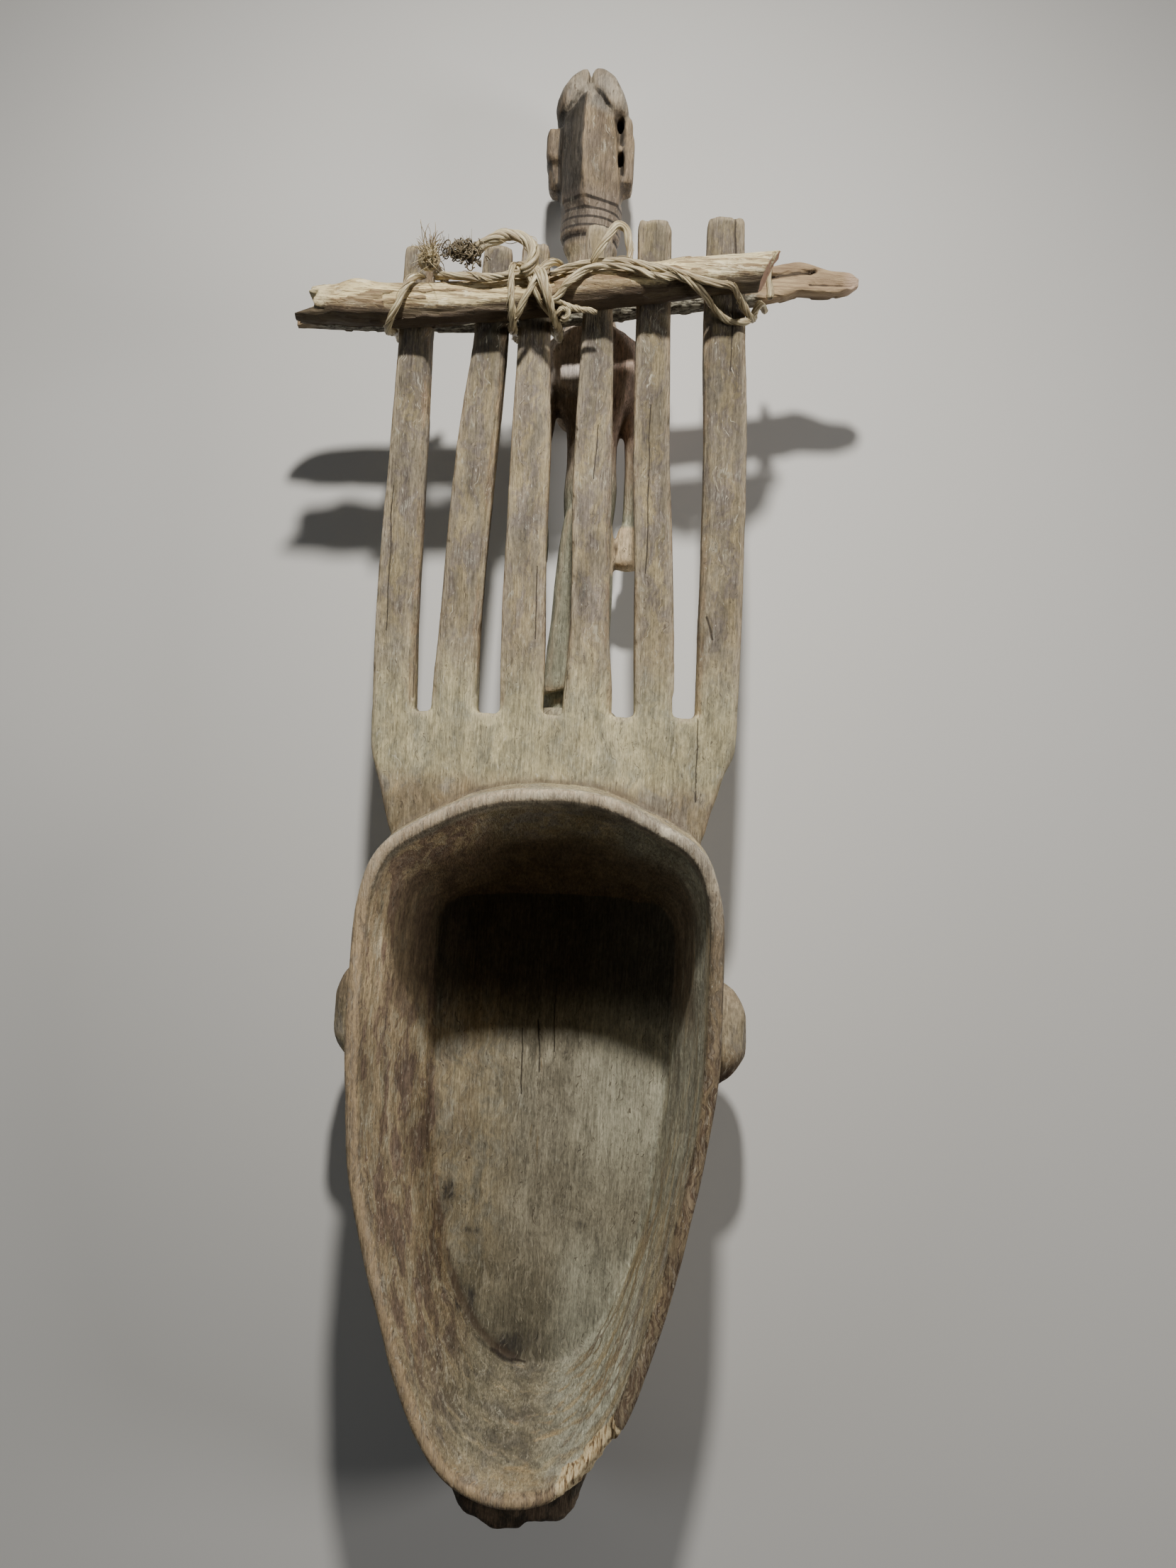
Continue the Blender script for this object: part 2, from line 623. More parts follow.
def head():
    """The figure's head: a ridged crown between two lobes, the skull, the ear pieces and a plain face."""
    crown = facets([
        (258, [(1, 69), (-8, 76), (-9, 92), (13, 92), (13.5, 76)]),
        (263, [(-0.4, 66), (-10, 74.5), (-11, 96), (15, 96), (15.8, 74.5)]),
        (273, [(-0.8, 63), (-10.4, 73), (-12, 100), (16, 100), (15.4, 72.5)]),
        (284, [(-1.5, 62.3), (-11.4, 72.4), (-12.4, 102), (16, 102), (14, 71.8)]),
        (296, [(-0.8, 63.2), (-11, 72.4), (-12, 102), (15, 102), (11.8, 71.4)]),
        (305, [(-0.3, 65.6), (-8.2, 72.4), (-10, 98), (12, 98), (8.6, 71.6)]),
        (312, [(-0.2, 70), (-4, 76), (-7, 94), (8, 94), (4, 76)]),
    ])
    right_levels = [(depth, size, -shift) for depth, size, shift in LOBE_LEVELS]
    lobes = [slab(LEFT_LOBE, LOBE_LEVELS), slab(RIGHT_LOBE, right_levels)]
    skull = limb([
        (262, 3.6, 88, 12.2, 11), (271, 3, 90, 13.6, 16), (284, 2.6, 92, 14.6, 20.5), (298, 2.2, 92, 15, 21),
        (308, 1.6, 91, 13.5, 18.5), (316, 1, 88, 10, 14), (319, 0.6, 87, 7, 9),
    ])
    ear_pieces = [
        ([(281, -14, 84, 3.6, 8.4), (282, -14.3, 84, 3.9, 9.2), (294, -14.4, 84, 4, 9.4),
          (295.4, -14.2, 84, 3.4, 8.8)], 6),
        ([(269, -12.4, 85, 3, 5), (272, -13, 85, 3.9, 6.6), (282, -13.6, 85, 4, 6.8)], 4),
        ([(272.6, 18.4, 84, 2.6, 8), (274, 18.5, 84, 3, 8.8), (293, 18.3, 84, 3, 9.2),
          (294, 18.2, 84, 2.6, 8.6)], 6),
        ([(294.6, 17.8, 83, 2.4, 8), (301.4, 17.5, 83, 2.3, 8.2)], 6),
    ]
    nose = limb([(302, 2.2, 106, 2, 5), (288, 2.3, 108, 3.6, 7.5), (284, 2.3, 107, 3, 5)])
    mouth = ellipsoid((2.4, 277.5, 105), (5, 2.2, 5.5))
    chin = ellipsoid((2.8, 268, 98), (7.5, 6, 8.5))
    return [crown, *lobes, skull, *(limb(*piece) for piece in ear_pieces), nose, mouth, chin]


def neck():
    stations = [(203, 7, 12.5, 12), (215, 5.6, 10.6, 10.5), (238, 4.6, 10.2, 10.5), (244, 3.9, 12.6, 12)]
    for groove in range(4):
        y = 246 + groove * 3.9
        stations += [(y + 0.5, 3.4, 11.8, 11.2), (y + 1.4, 3.4, 13.7, 13.3), (y + 3.3, 3.3, 13.9, 13.7)]
    stations.append((266, 3.1, 13.6, 15))
    return limb([(y, x, 78 + (y - 203) * 0.1, wide, deep) for y, x, wide, deep in stations], step=0.8)


def torso():
    x = FIGURE_X
    back = facets([
        (150, [(x - 6, 82), (x - 9, 84), (x - 9, 90), (x + 11, 90), (x + 11, 83), (x + 9, 79)]),
        (166, [(x - 8, 78), (x - 12, 82), (x - 12, 92), (x + 15, 92), (x + 15, 78), (x + 12, 73)]),
        (174, [(x - 12, 72), (x - 18, 78), (x - 18, 92), (x + 20, 92), (x + 20, 74), (x + 14, 68.5)]),
        (178, [(x - 14, 66.6), (x - 20, 72), (x - 20, 92), (x + 21, 92), (x + 21, 73), (x + 14, 67)]),
        (190, [(x - 18, 66), (x - 24, 72), (x - 24, 90), (x + 24.5, 90), (x + 24.5, 72), (x + 17, 66)]),
        (199, [(x - 13, 66), (x - 20, 72), (x - 20, 88), (x + 20, 88), (x + 20, 72), (x + 12, 66)]),
        (206, [(x - 7, 67), (x - 11, 72), (x - 11, 86), (x + 9, 86), (x + 9, 72), (x + 6, 67)]),
    ])
    body = limb([
        (207, 7.4, 81, 11, 11.5), (202, 8.2, 81, 17, 12), (195, x, 83, 22.5, 13), (184, x, 84, 23, 14),
        (172, x + 0.4, 84, 19, 13.5), (164, x + 1, 84, 12, 13), (148, x + 1.4, 86, 11.4, 14.5),
        (134, x + 1.5, 86, 12, 16), (121, x + 1.5, 86, 11, 15), (107, x + 1.5, 86, 9, 11),
        (98, x + 1.5, 86, 5, 7),
    ], squareness=2.5)
    return [back, body]


def limbs():
    parts = []
    for side in (-1, 1):
        arm_x = FIGURE_X - 0.8 + side * 21.8
        leg_x = FIGURE_X + side * 7.4
        parts += [
            ellipsoid((FIGURE_X + side * 9.5, 176, 99), (8, 9, 20.8)),
            limb([
                (196, arm_x - side * 3.4, 80, 6, 9), (180, arm_x - side * 0.8, 81, 6.6, 10),
                (166, arm_x - side * 0.3, 82, 6, 8), (153, arm_x, 83, 4.8, 6.5),
                (138, arm_x + side * 0.2, 84, 4.2, 5.5), (120, arm_x, 85, 4.1, 5.5),
                (117, arm_x - side * 0.7, 85, 5.4, 8), (102, arm_x - side * 0.9, 86, 5.6, 8),
                (100, arm_x - side * 0.9, 86, 4.6, 6.5),
            ], squareness=2.8),
            limb([
                (131, leg_x + 1 - side * 3, 82, 3.4, 8), (122, leg_x + 1 - side * 2, 82, 5.2, 10.5),
                (104, leg_x + 1 - side * 0.8, 84, 6.2, 10.5),
                (78, leg_x + 0.8, 85, 6.2, 10.5), (60, leg_x + 0.2 + side * 0.2, 85, 6.6, 10.5),
                (47, leg_x + side * 0.6, 85, 6.6, 9.5), (42, leg_x + side * 0.6, 86, 6.6, 9.5),
            ], squareness=3.4, lean=0.3),
            ellipsoid((FIGURE_X + side * 8.2, 39, 96), (6.6, 7.5, 14.5)),
        ]
    return parts


def pedestal():
    x = FIGURE_X
    return limb([(-14, x - 3, 80, 40, 34), (8, x - 1, 81, 30, 32), (22, x, 82, 23, 30), (31, x, 84, 20, 28),
                 (33.5, x, 84, 18, 25.5)], squareness=3.2, sides=72)


def standing_figure():
    return [*head(), neck(), *torso(), *limbs(), pedestal()]


# The places where the rim is broken away: (size, turn, centre)
RIM_BREAKS = [
    ((12, 15, 18), (0.3, 0.62, -0.62), (36.2, -255.6, RIM_HEIGHT + 2)),
    ((9, 15, 18), (0.42, 0.5, -0.75), (27.6, -264.6, RIM_HEIGHT + 2.4)),
    ((30, 29, 22), (0.12, -0.55, -0.62), (45.2, -274, RIM_HEIGHT - 1)),
]
# The square hole and the slot beside the figure's right ear piece
HEAD_HOLES = [
    ((3.2, 5, 26), (0, 0, 0.1), (14.3, 298.8, RIM_HEIGHT - 74)),
    ((2.4, 13.5, 22), (0, 0, 0.06), (15.4, 280, RIM_HEIGHT - 72)),
]


def carved_shape():
    shells = [outer_wall(), *comb(), *carved_face(), *(ear(wall_x, reach) for _, wall_x, reach in EARS),
              jaw_stump(), *standing_figure()]
    body = loose_object("carved_body", together([outward(shell) for shell in shells]))
    remeshed(body, VOXEL)
    cut(body, hollow())
    for side, wall_x, reach in EARS:
        # The bowl of the ear, and the line between the eye's lids
        cut(body, ellipsoid((wall_x + side * (reach - 5), -104, 80), (8, 13, 8)))
        cut(body, ellipsoid((AXIS_X + side * 26, -121.5, 107), (10, 1.1, 4)))
    for place in RIM_BREAKS + HEAD_HOLES:
        cut(body, box(*place))
    remeshed(body, VOXEL)
    return body


# The surface of the carving: tool marks, worn edges, cracks and breaks

CRACK_REACH = (1, 1, 0.2)  # how much each axis counts in the distance to a crack
# Cracks as (start, end, width), in carving millimetres
CRACKS = [
    ((50, -226, 60), (47.6, -237, 52), 0.7), ((47.6, -237, 52), (45.8, -251, 88), 0.6),
    ((44.6, -252, 106), (43.4, -255.6, 112), 0.7), ((61, 34, 84), (62.5, -4, 84), 0.38),
    ((64.5, 241, 84), (65.5, 222, 84), 0.6), ((65.5, 222, 84), (66.3, 176, 84), 0.45),
    ((62.6, 73, 84), (65.5, 64, 84), 0.7), ((5.2, 68, 84), (5.8, 36, 84), 0.55),
    ((-62, -150, 118), (-58, -158, 112), 0.5), ((-71, 120, 84), (-70, 60, 84), 0.4),
    ((-30, 150, 84), (-33, 60, 84), 0.4), ((34, 160, 84), (36, 90, 84), 0.4),
    ((13, 150, 84), (12, 128, 84), 0.4), ((-58.4, 184, 83), (-58.7, 152, 83), 1.1),
    ((-27.8, 184, 83), (-29.2, 118, 83), 0.8), ((-58.2, 62, 83), (-57.6, 33, 83), 0.6),
    ((-30.9, 64, 83), (-31, 36, 83), 0.9), ((51, 39, 83), (52, 33, 82), 1.2),
    ((-8, 60, 84), (-9, 90, 84), 0.4), ((1, -108, 35), (3, -132, 35), 0.5),
    ((-34.8, -229, 34), (-29, -239.5, 33.6), 0.8), ((-29, -239.5, 33.6), (-21.4, -250.6, 33.4), 1.1),
    ((-21.4, -250.6, 33.4), (-14, -258.6, 33.4), 1.2), ((-14, -258.6, 33.4), (-5, -263.4, 33.4), 1.0),
    ((-5, -263.4, 33.4), (4, -265.6, 33.4), 0.7), ((-6, -112, 35), (-5, -142, 35), 0.45),
    ((8, -96, 35), (9, -122, 35), 0.4), ((-49, -165, 48), (-45, -192, 42), 0.6),
    ((-45.5, -180, 40), (-40, -214, 38), 0.45), ((-1.5, 268, 56), (-0.2, 260, 53), 0.5),
]
# The slits of the closed eyes are cut in the same way
for eye_x in (-25, 29):
    left, middle, right = (eye_x - 9.5, -121, 11), (eye_x, -121, 8.6), (eye_x + 9.5, -121, 11)
    CRACKS += [(left, middle, 0.9), (middle, right, 0.9)]
# Dark stains on the carving as (centre, radii, strength)
STAINS = [
    ((-35.2, -189, 35), (3.4, 9, 8), 0.7), ((-22.8, -208, 35), (10, 4.6, 8), 0.6),
    ((-22.5, -237, 35), (4.4, 11, 8), 0.85), ((-27, -232, 35), (2.5, 9, 8), 0.8),
    ((-3, -258, 34), (8, 7, 8), 0.7), ((-7, -257, 34), (2.5, 7, 8), 0.9),
    ((25, -200.7, 35), (5, 6, 8), 0.6), ((13, -254, 34), (11, 9, 8), 0.55),
    ((28.7, -242, 34), (6, 9, 8), 0.4), ((17, -172, 35), (7, 2.4, 8), 0.45),
    ((23, -179, 35), (2, 6, 8), 0.5), ((-26, -160, 35), (2.6, 8, 8), 0.4),
    ((-10.5, -142, 35), (7, 5.5, 8), 0.3), ((34, -218, 36), (4, 5, 8), 0.3),
    ((-40, -155, 36), (2, 5, 8), 0.5), ((-65, -139, 68), (6, 12, 30), 0.35),
    ((-64, -171, 68), (6, 9, 30), 0.4), ((-59, -201, 68), (5, 12, 30), 0.4),
    ((-47, -238, 68), (7, 10, 30), 0.45), ((-36, -255, 68), (4, 10, 30), 0.45),
    ((-12.6, -267, 58), (4, 2.3, 9), 0.6), ((-5.4, -271, 58), (4, 2.6, 9), 0.65),
    ((-18, -277, 80), (4, 4, 14), 0.5), ((-13, -282, 100), (8, 5, 14), 0.4),
    ((23, -287, 100), (4, 3, 14), 0.45), ((25, -273, 70), (3, 6, 14), 0.4),
    ((-17, 105, 84), (4.5, 15, 9), 0.6), ((-13, 88, 84), (3, 9, 9), 0.4), ((12, 86, 84), (5, 11, 9), 0.55),
    ((9, 110, 84), (2.5, 12, 9), 0.5), ((-42, 118, 84), (5, 12, 9), 0.45), ((-46, 92, 84), (3, 10, 9), 0.3),
    ((64, 100, 84), (5, 12, 9), 0.35), ((13, 134, 84), (5, 7, 9), 0.4), ((40, 36, 84), (7, 12, 9), 0.25),
    ((-38, 22, 84), (9, 12, 9), 0.25), ((62, 20, 84), (5, 16, 9), 0.3), ((33, 140, 84), (4, 14, 9), 0.3),
    ((63, 200, 84), (7, 8, 9), 0.4), ((-67, 178, 84), (9, 7, 9), 0.65), ((-34, 181, 84), (9, 6, 9), 0.6),
    ((-17, 184, 84), (9, 6, 9), 0.6), ((10, 190, 84), (9, 6, 9), 0.6), ((33, 197, 84), (9, 6, 9), 0.5),
]


def stain_strength(points):
    """How darkly each point is stained, from 0 to 1; the stains' edges waver."""
    waves = [noise(points, 14, seed) + 0.5 * noise(points, 6, seed + 3) for seed in (61, 62, 63)]
    points = points + 4 * np.column_stack(waves)
    dark = np.zeros(len(points))
    for centre, radii, strength in STAINS:
        length = np.linalg.norm((points - centre) / radii, axis=1)
        dark = np.maximum(dark, strength * smoothstep(1.5, 0.4, length))
    return dark


def scoops(points, cells, seed):
    """Shallow scooped facets like an adze leaves: 0 in the middle of each and 1 on the ridges between."""
    cell = points / np.array(cells, float)
    base = np.floor(cell).astype(np.int64)
    nearest = np.full(len(points), 9.0)
    for near in np.ndindex(3, 3, 3):
        index = base + np.array(near) - 1
        place = [scattered(index, seed + axis) / CELL_STEPS for axis in range(3)]
        away = cell - (index + np.column_stack(place))
        nearest = np.minimum(nearest, np.einsum("ij,ij->i", away, away))
    return np.minimum(nearest, 1)


def line_distance(points, start, end):
    """The distance to a line, with height counted less, so that a crack meets the surface under it."""
    points, start, end = (np.array(value, float) * CRACK_REACH for value in (points, start, end))
    span = end - start
    share = np.clip((points - start) @ span / (span @ span), 0, 1)
    return np.linalg.norm(points - start - share[:, None] * span, axis=1)


def inside_box(points, size, turn, centre):
    """True where a point is in the turned box."""
    return (np.abs(turned(points - np.array(centre), turn, back=True)) < np.array(size) / 2).all(axis=1)


def convexity(points, normals, ends):
    """How far each point stands out from its neighbourhood: above 0 on ridges and below 0 in hollows."""
    mean = points
    for _ in range(6):
        mean = neighbour_mean(mean, ends)
    out = np.einsum("ij,ij->i", points - mean, normals)
    for _ in range(2):
        out = neighbour_mean(out, ends)
    return out


def worn_rim(points, ends):
    """The points with the rim's edge rounded by wear."""
    worn = points
    for _ in range(9):
        worn = neighbour_mean(worn, ends)
    share = smoothstep(108, 114, points[:, 2]) * smoothstep(4, -4, points[:, 1])
    return points + share[:, None] * (worn - points)


def adze_marks(points, normals, comb_zone):
    """Marks in the hollow, plainest on its floor, finer ones in the chin's bowl, and broader ones outside."""
    _, y, z = points.T
    inside = smoothstep(104, 96, z) * smoothstep(0, -8, y) * (z > 31) * (normals[:, 2] > 0.03)
    head_zone = smoothstep(200, 206, y) * smoothstep(73, 70, z) + smoothstep(256, 262, y)
    flat_floor = (normals[:, 2] > 0.85) * (z < 45)
    bowl = inside * smoothstep(-200, -235, y) * (1 - flat_floor)
    outer = (1 - inside) * (1 - comb_zone) * (1 - np.clip(head_zone, 0, 1))
    return [
        inside * (1 - 0.72 * flat_floor) * (scoops(points, (10, 19, 12), 35) - 0.45) * 0.85,
        bowl * (scoops(points, (3.4, 8, 5), 43) - 0.45) * 0.5,
        outer * (scoops(points, (13, 24, 13), 36) - 0.45) * 0.5 * smoothstep(112, 96, z),
    ]


def crack_grooves(points):
    wavy = points.copy()
    wavy[:, 0] += 0.5 * noise(points, 5, 39)
    for start, end, width in CRACKS:
        yield 0.7 * np.exp(-(line_distance(wavy, start, end) / (width + 0.35)) ** 2)


def weathered(points, normals, ends):
    """The carving's points with its tool marks, grain and damage, how sharp each is and if it is broken."""
    points = worn_rim(points, ends)
    _, y, z = points.T
    sharp = convexity(points, normals, ends)
    edges = smoothstep(0.12, 0.4, sharp)
    comb_zone = smoothstep(24, 34, y) * smoothstep(62, 70, z)
    hand = noise(points, (17, 26, 17), 31) * 0.35 + noise(points, (7, 12, 7), 32) * 0.12
    grain = noise(points, (2.4, 34, 2.4), 33) * 0.13 + noise(points, (4.2, 60, 4.2), 34) * 0.16
    lift = hand * (1 - 0.5 * comb_zone) + grain * (1 + 0.5 * comb_zone)
    for marks in adze_marks(points, normals, comb_zone):
        lift += marks
    # Edges wear down and chip, but the polished crown keeps a smooth lip
    chip = smoothstep(0.15, 0.5, noise(points, (4, 7, 4), 37) + 0.35 * noise(points, (1.8, 2.5, 1.8), 38))
    lift -= edges * (0.15 + 0.75 * chip * (0.3 + 0.7 * comb_zone))
    lift *= 1 - 0.75 * smoothstep(108, 113, z) * smoothstep(-75, -35, y)
    for groove in crack_grooves(points):
        lift -= groove
    # The broken rim is fibrous
    fresh = np.zeros(len(points))
    for size, turn, centre in RIM_BREAKS:
        fresh = np.maximum(fresh, inside_box(points, np.array(size) + (4.2, 6, 2.4), turn, centre))
    fibres = noise(points, (1.6, 11, 5), 40) * 0.9 + noise(points, (2.6, 5, 3), 41) * 0.5
    lift = np.where(fresh > 0, fibres * 0.9 - 0.3, lift)
    # The chin's stump is rough, and the side that lies on the ground is flat
    stump = smoothstep(-284, -292, y) * smoothstep(66, 60, z)
    lift += stump * (scoops(points, (9, 7, 9), 42) - 0.5) * 1.6
    lift *= smoothstep(0, 1.5, z)
    return points + normals * lift[:, None], sharp, fresh


# The two bars, each through stations (x, y of the middle, half height, half thickness)

RING_STEP = 0.8  # between the rings of a bar

STICK_SKIN = [
    (-112.5, 188.2, 5.5, 5.8), (-104, 189.6, 7.2, 7), (-97, 190.2, 7.6, 7.6), (-89, 190.7, 8.8, 8.2),
    (-80, 191.1, 8.2, 8.2), (-70, 191.6, 8.5, 8.2), (-46, 193.6, 8.3, 8.2), (-32, 195.8, 8.2, 8.2),
    (11, 203.1, 8.1, 8.2), (54, 210.6, 7.8, 8), (70, 212.8, 7.8, 8), (84, 215, 7.4, 7.8),
]
# The stick's middle (x, y) where the cord lies on it
STICK_LINE = [(-89, 190.7), (-70, 191.6), (-46, 193.6), (-32, 195.8), (11, 203.1), (54, 210.6), (70, 212.8)]
LATH = [
    (-118.8, 191, 1.8, 2.2), (-114, 193.5, 4, 3.6), (-104, 195.6, 6, 4.6), (-88, 197.4, 7, 4.75),
    (-55, 199, 7.2, 4.75), (0, 205.4, 7.3, 4.75), (45, 213, 7.3, 4.75), (85, 220, 7.6, 4.75),
    (95, 222.6, 7, 4.75), (107, 221.4, 5.3, 4.4), (116, 222, 4.4, 3.8), (120.2, 222.2, 2, 2.2),
]
# The long splits in the lath's right end as (start, end, depth, width of the dark line)
LATH_SPLITS = [((80, 221.2), (101, 225), 2.2, 1.3), ((99, 219), (117, 220), 0.9, 0.6)]
LATH_FACE = 71.5  # how high above the ground the lath's upper face is


def bar_y(stations, x):
    """The y of a bar's middle at any x."""
    table = np.array(stations, float)
    return np.interp(x, table[:, 0], table[:, 1])


def bar_rings(stations, depth, squareness, sides):
    """Rings along X through a bar's stations, and their centres."""
    table = np.array(stations, float)
    places = np.arange(table[0, 0], table[-1, 0] + RING_STEP / 2, RING_STEP)
    places[-1] = table[-1, 0]
    middle, high, thick = (monotone(table[:, 0], table[:, k], places) for k in (1, 2, 3))
    rings = np.array([ring(at(x, y, depth), (0, a, 0), (0, 0, b), squareness, sides)
                      for x, y, a, b in zip(places, middle, high, thick)])
    centres = np.column_stack([places, middle, np.full(len(places), height(depth))])
    return rings, centres


def ways_out(rings, centres):
    """The rings' points as rows, the way from the centre to each, and that way one millimetre long."""
    flat = rings.reshape(-1, 3)
    away = flat - np.repeat(centres, rings.shape[1], axis=0)
    return flat, away, away / np.linalg.norm(away, axis=1)[:, None]


def drawn_in(rings, centres, left, right):
    """Closes the rings beyond a ragged left end and a ragged right end, each given as an x for each side."""
    first, last = centres[0, 0], centres[-1, 0]
    for row, x in enumerate(centres[:, 0]):
        before = np.clip((x - first) / np.maximum(left - first, 0.1), 0, 1)
        beyond = np.clip((last - x) / np.maximum(last - right, 0.1), 0, 1)
        for outside, share, end in ((x < left, before, left), (x > right, beyond, right)):
            skin_row = np.searchsorted(centres[:, 0], end[outside]).clip(0, len(centres) - 1)
            nearest = centres[skin_row]
            skin = rings[skin_row, np.nonzero(outside)[0]] - nearest
            pulled = nearest + skin * share[outside, None] ** 0.8
            pulled[:, 0] = end.mean() + (end[outside] - end.mean()) * share[outside] ** 0.7
            rings[row, outside] = pulled


def stick_shell():
    """The stick's shell, with the bark and the under side for each point of its rings."""
    rings, centres = bar_rings(STICK_SKIN, STICK_DEPTH, 2.1, 96)
    count, sides = rings.shape[:2]
    angle = np.arange(sides) / sides * 2 * np.pi
    flat, _, way = ways_out(rings, centres)
    # Bark left in patches, grooves along the grain, and a knot
    groove = noise(flat, (26, 1.5, 1.5), 3) * 0.22 + noise(flat, (9, 0.9, 0.9), 4) * 0.12
    swell = noise(flat, (22, 9, 9), 5) * 0.45
    low_side = np.tile(np.cos(angle), count) < 0.35
    bark = noise(flat, (16, 4, 4), 6) + 0.5 * noise(flat, (5, 2, 2), 7) + 0.35 * low_side - 0.25
    bark = smoothstep(0.02, 0.1, bark) * smoothstep(64, 40, flat[:, 0])
    knot = np.exp(-(((flat[:, 0] + 88) / 7) ** 2 + ((flat[:, 1] - 198) / 4) ** 2))
    flat = flat + way * (groove + swell + bark * 0.45 - 0.25 + knot * 1.2)[:, None]
    # The splintered left end: each sliver ends at its own x
    sliver = np.floor(angle / (2 * np.pi) * 19 + 0.4 * np.sin(angle * 3))
    low = smoothstep(-0.3, -0.95, np.cos(angle))
    rough = np.sin(sliver * 12.9898) * 43758.5453
    left = -103.5 + 3.6 * (rough - np.floor(rough)) * 2 - 3.6 - 9 * low * (np.sin(angle) > -0.6)
    left += noise(np.column_stack([angle * 9, sliver, sliver]), 1, 8) * 0.8
    # The slanting cut at the right end, with a lip that stands up at the top
    right = 78.2 + 3.6 * np.cos(angle) + 1.4 * smoothstep(0.7, 1, np.cos(angle)) - 0.8 * np.sin(angle)
    right += noise(np.column_stack([angle * 5, angle, angle]), 1, 9) * 0.35
    right -= 3.4 * np.exp(-((angle - 0.75) / 0.13) ** 2)
    rings = flat.reshape(count, sides, 3)
    drawn_in(rings, centres, left, right)
    return loft(rings), bark, np.tile(-np.cos(angle), count)


def lath_shell():
    rings, centres = bar_rings(LATH, LATH_DEPTH, 5, 84)
    flat, away, way = ways_out(rings, centres)
    groove = noise(flat, (30, 1.6, 1.6), 13) * 0.22 + noise(flat, (10, 0.9, 0.9), 14) * 0.12
    swell = noise(flat, (18, 8, 8), 15) * 0.3
    flake = smoothstep(0.1, 0.2, noise(flat, (7, 2.5, 2.5), 16) + 0.4 * noise(flat, (2.5, 1.2, 1.2), 17))
    low_edge = smoothstep(-2, -5, away[:, 1])
    flat = flat + way * (groove + swell - 0.45 + low_edge * flake * 0.5)[:, None]
    x, y = flat[:, 0], flat[:, 1]
    for (start_x, start_y), (end_x, end_y), deep, _ in LATH_SPLITS:
        share = np.clip((x - start_x) / (end_x - start_x), 0, 1)
        off = np.hypot(y - (start_y + (end_y - start_y) * share) - 0.3 * np.sin(x),
                       x - (start_x + (end_x - start_x) * share))
        flat[:, 2] -= deep * np.exp(-(off / 0.7) ** 2) * (way[:, 2] > 0.5)
    return loft(flat.reshape(rings.shape))


# The lashing

def on_stick(places, radius=CORD_RADIUS):
    """The points of a strand that lies on the stick at these places (x, y)."""
    reach = STICK_RADIUS + CORD_STANDOFF + radius
    return [(x, y, STICK_DEPTH - math.sqrt(max(0, reach ** 2 - (y - bar_y(STICK_LINE, x)) ** 2)))
            for x, y in places]


def turn_points(top, bottom, following, layer=0.0, spread=(0, 0)):
    """One turn round both bars; the spread moves it sideways where it crosses the stick."""
    reach = STICK_RADIUS + CORD_STANDOFF + CORD_RADIUS + layer
    behind = LATH_DEPTH + LATH_THICKNESS / 2 + CORD_STANDOFF + CORD_RADIUS + layer
    edge = LATH_HALF_HEIGHT + CORD_STANDOFF + CORD_RADIUS + layer
    points = []
    for share, angle in ((0, 1.5), (0.15, 0.95), (0.38, 0.35), (0.62, -0.35), (0.85, -0.95), (1, -1.5)):
        x = top + (bottom - top) * share
        aside = (spread[0] * (1 - share) + spread[1] * share) * math.cos(angle)
        y = bar_y(STICK_LINE, x) + reach * math.sin(angle)
        points.append((x + aside, y, STICK_DEPTH - reach * math.cos(angle)))
    low_y = bar_y(LATH, bottom) - edge
    points += [(bottom, low_y - 2, 40), (bottom, low_y, LATH_DEPTH - 3), (bottom, low_y, LATH_DEPTH + 3)]
    for share, off in ((0.2, -6), (0.8, 6)):
        x = bottom + (following - bottom) * share
        points.append((x, bar_y(LATH, x) + off, behind))
    top_y = bar_y(LATH, following) + edge
    for y, depth in ((top_y, LATH_DEPTH + 3), (top_y, LATH_DEPTH - 3), (top_y + 0.5, 39)):
        points.append((following, y, depth))
    return points


SLOT_LEFT = -25.2  # the slots on both sides of the third prong
SLOT_RIGHT = -6.8
LINK_RADIUS = 1.8


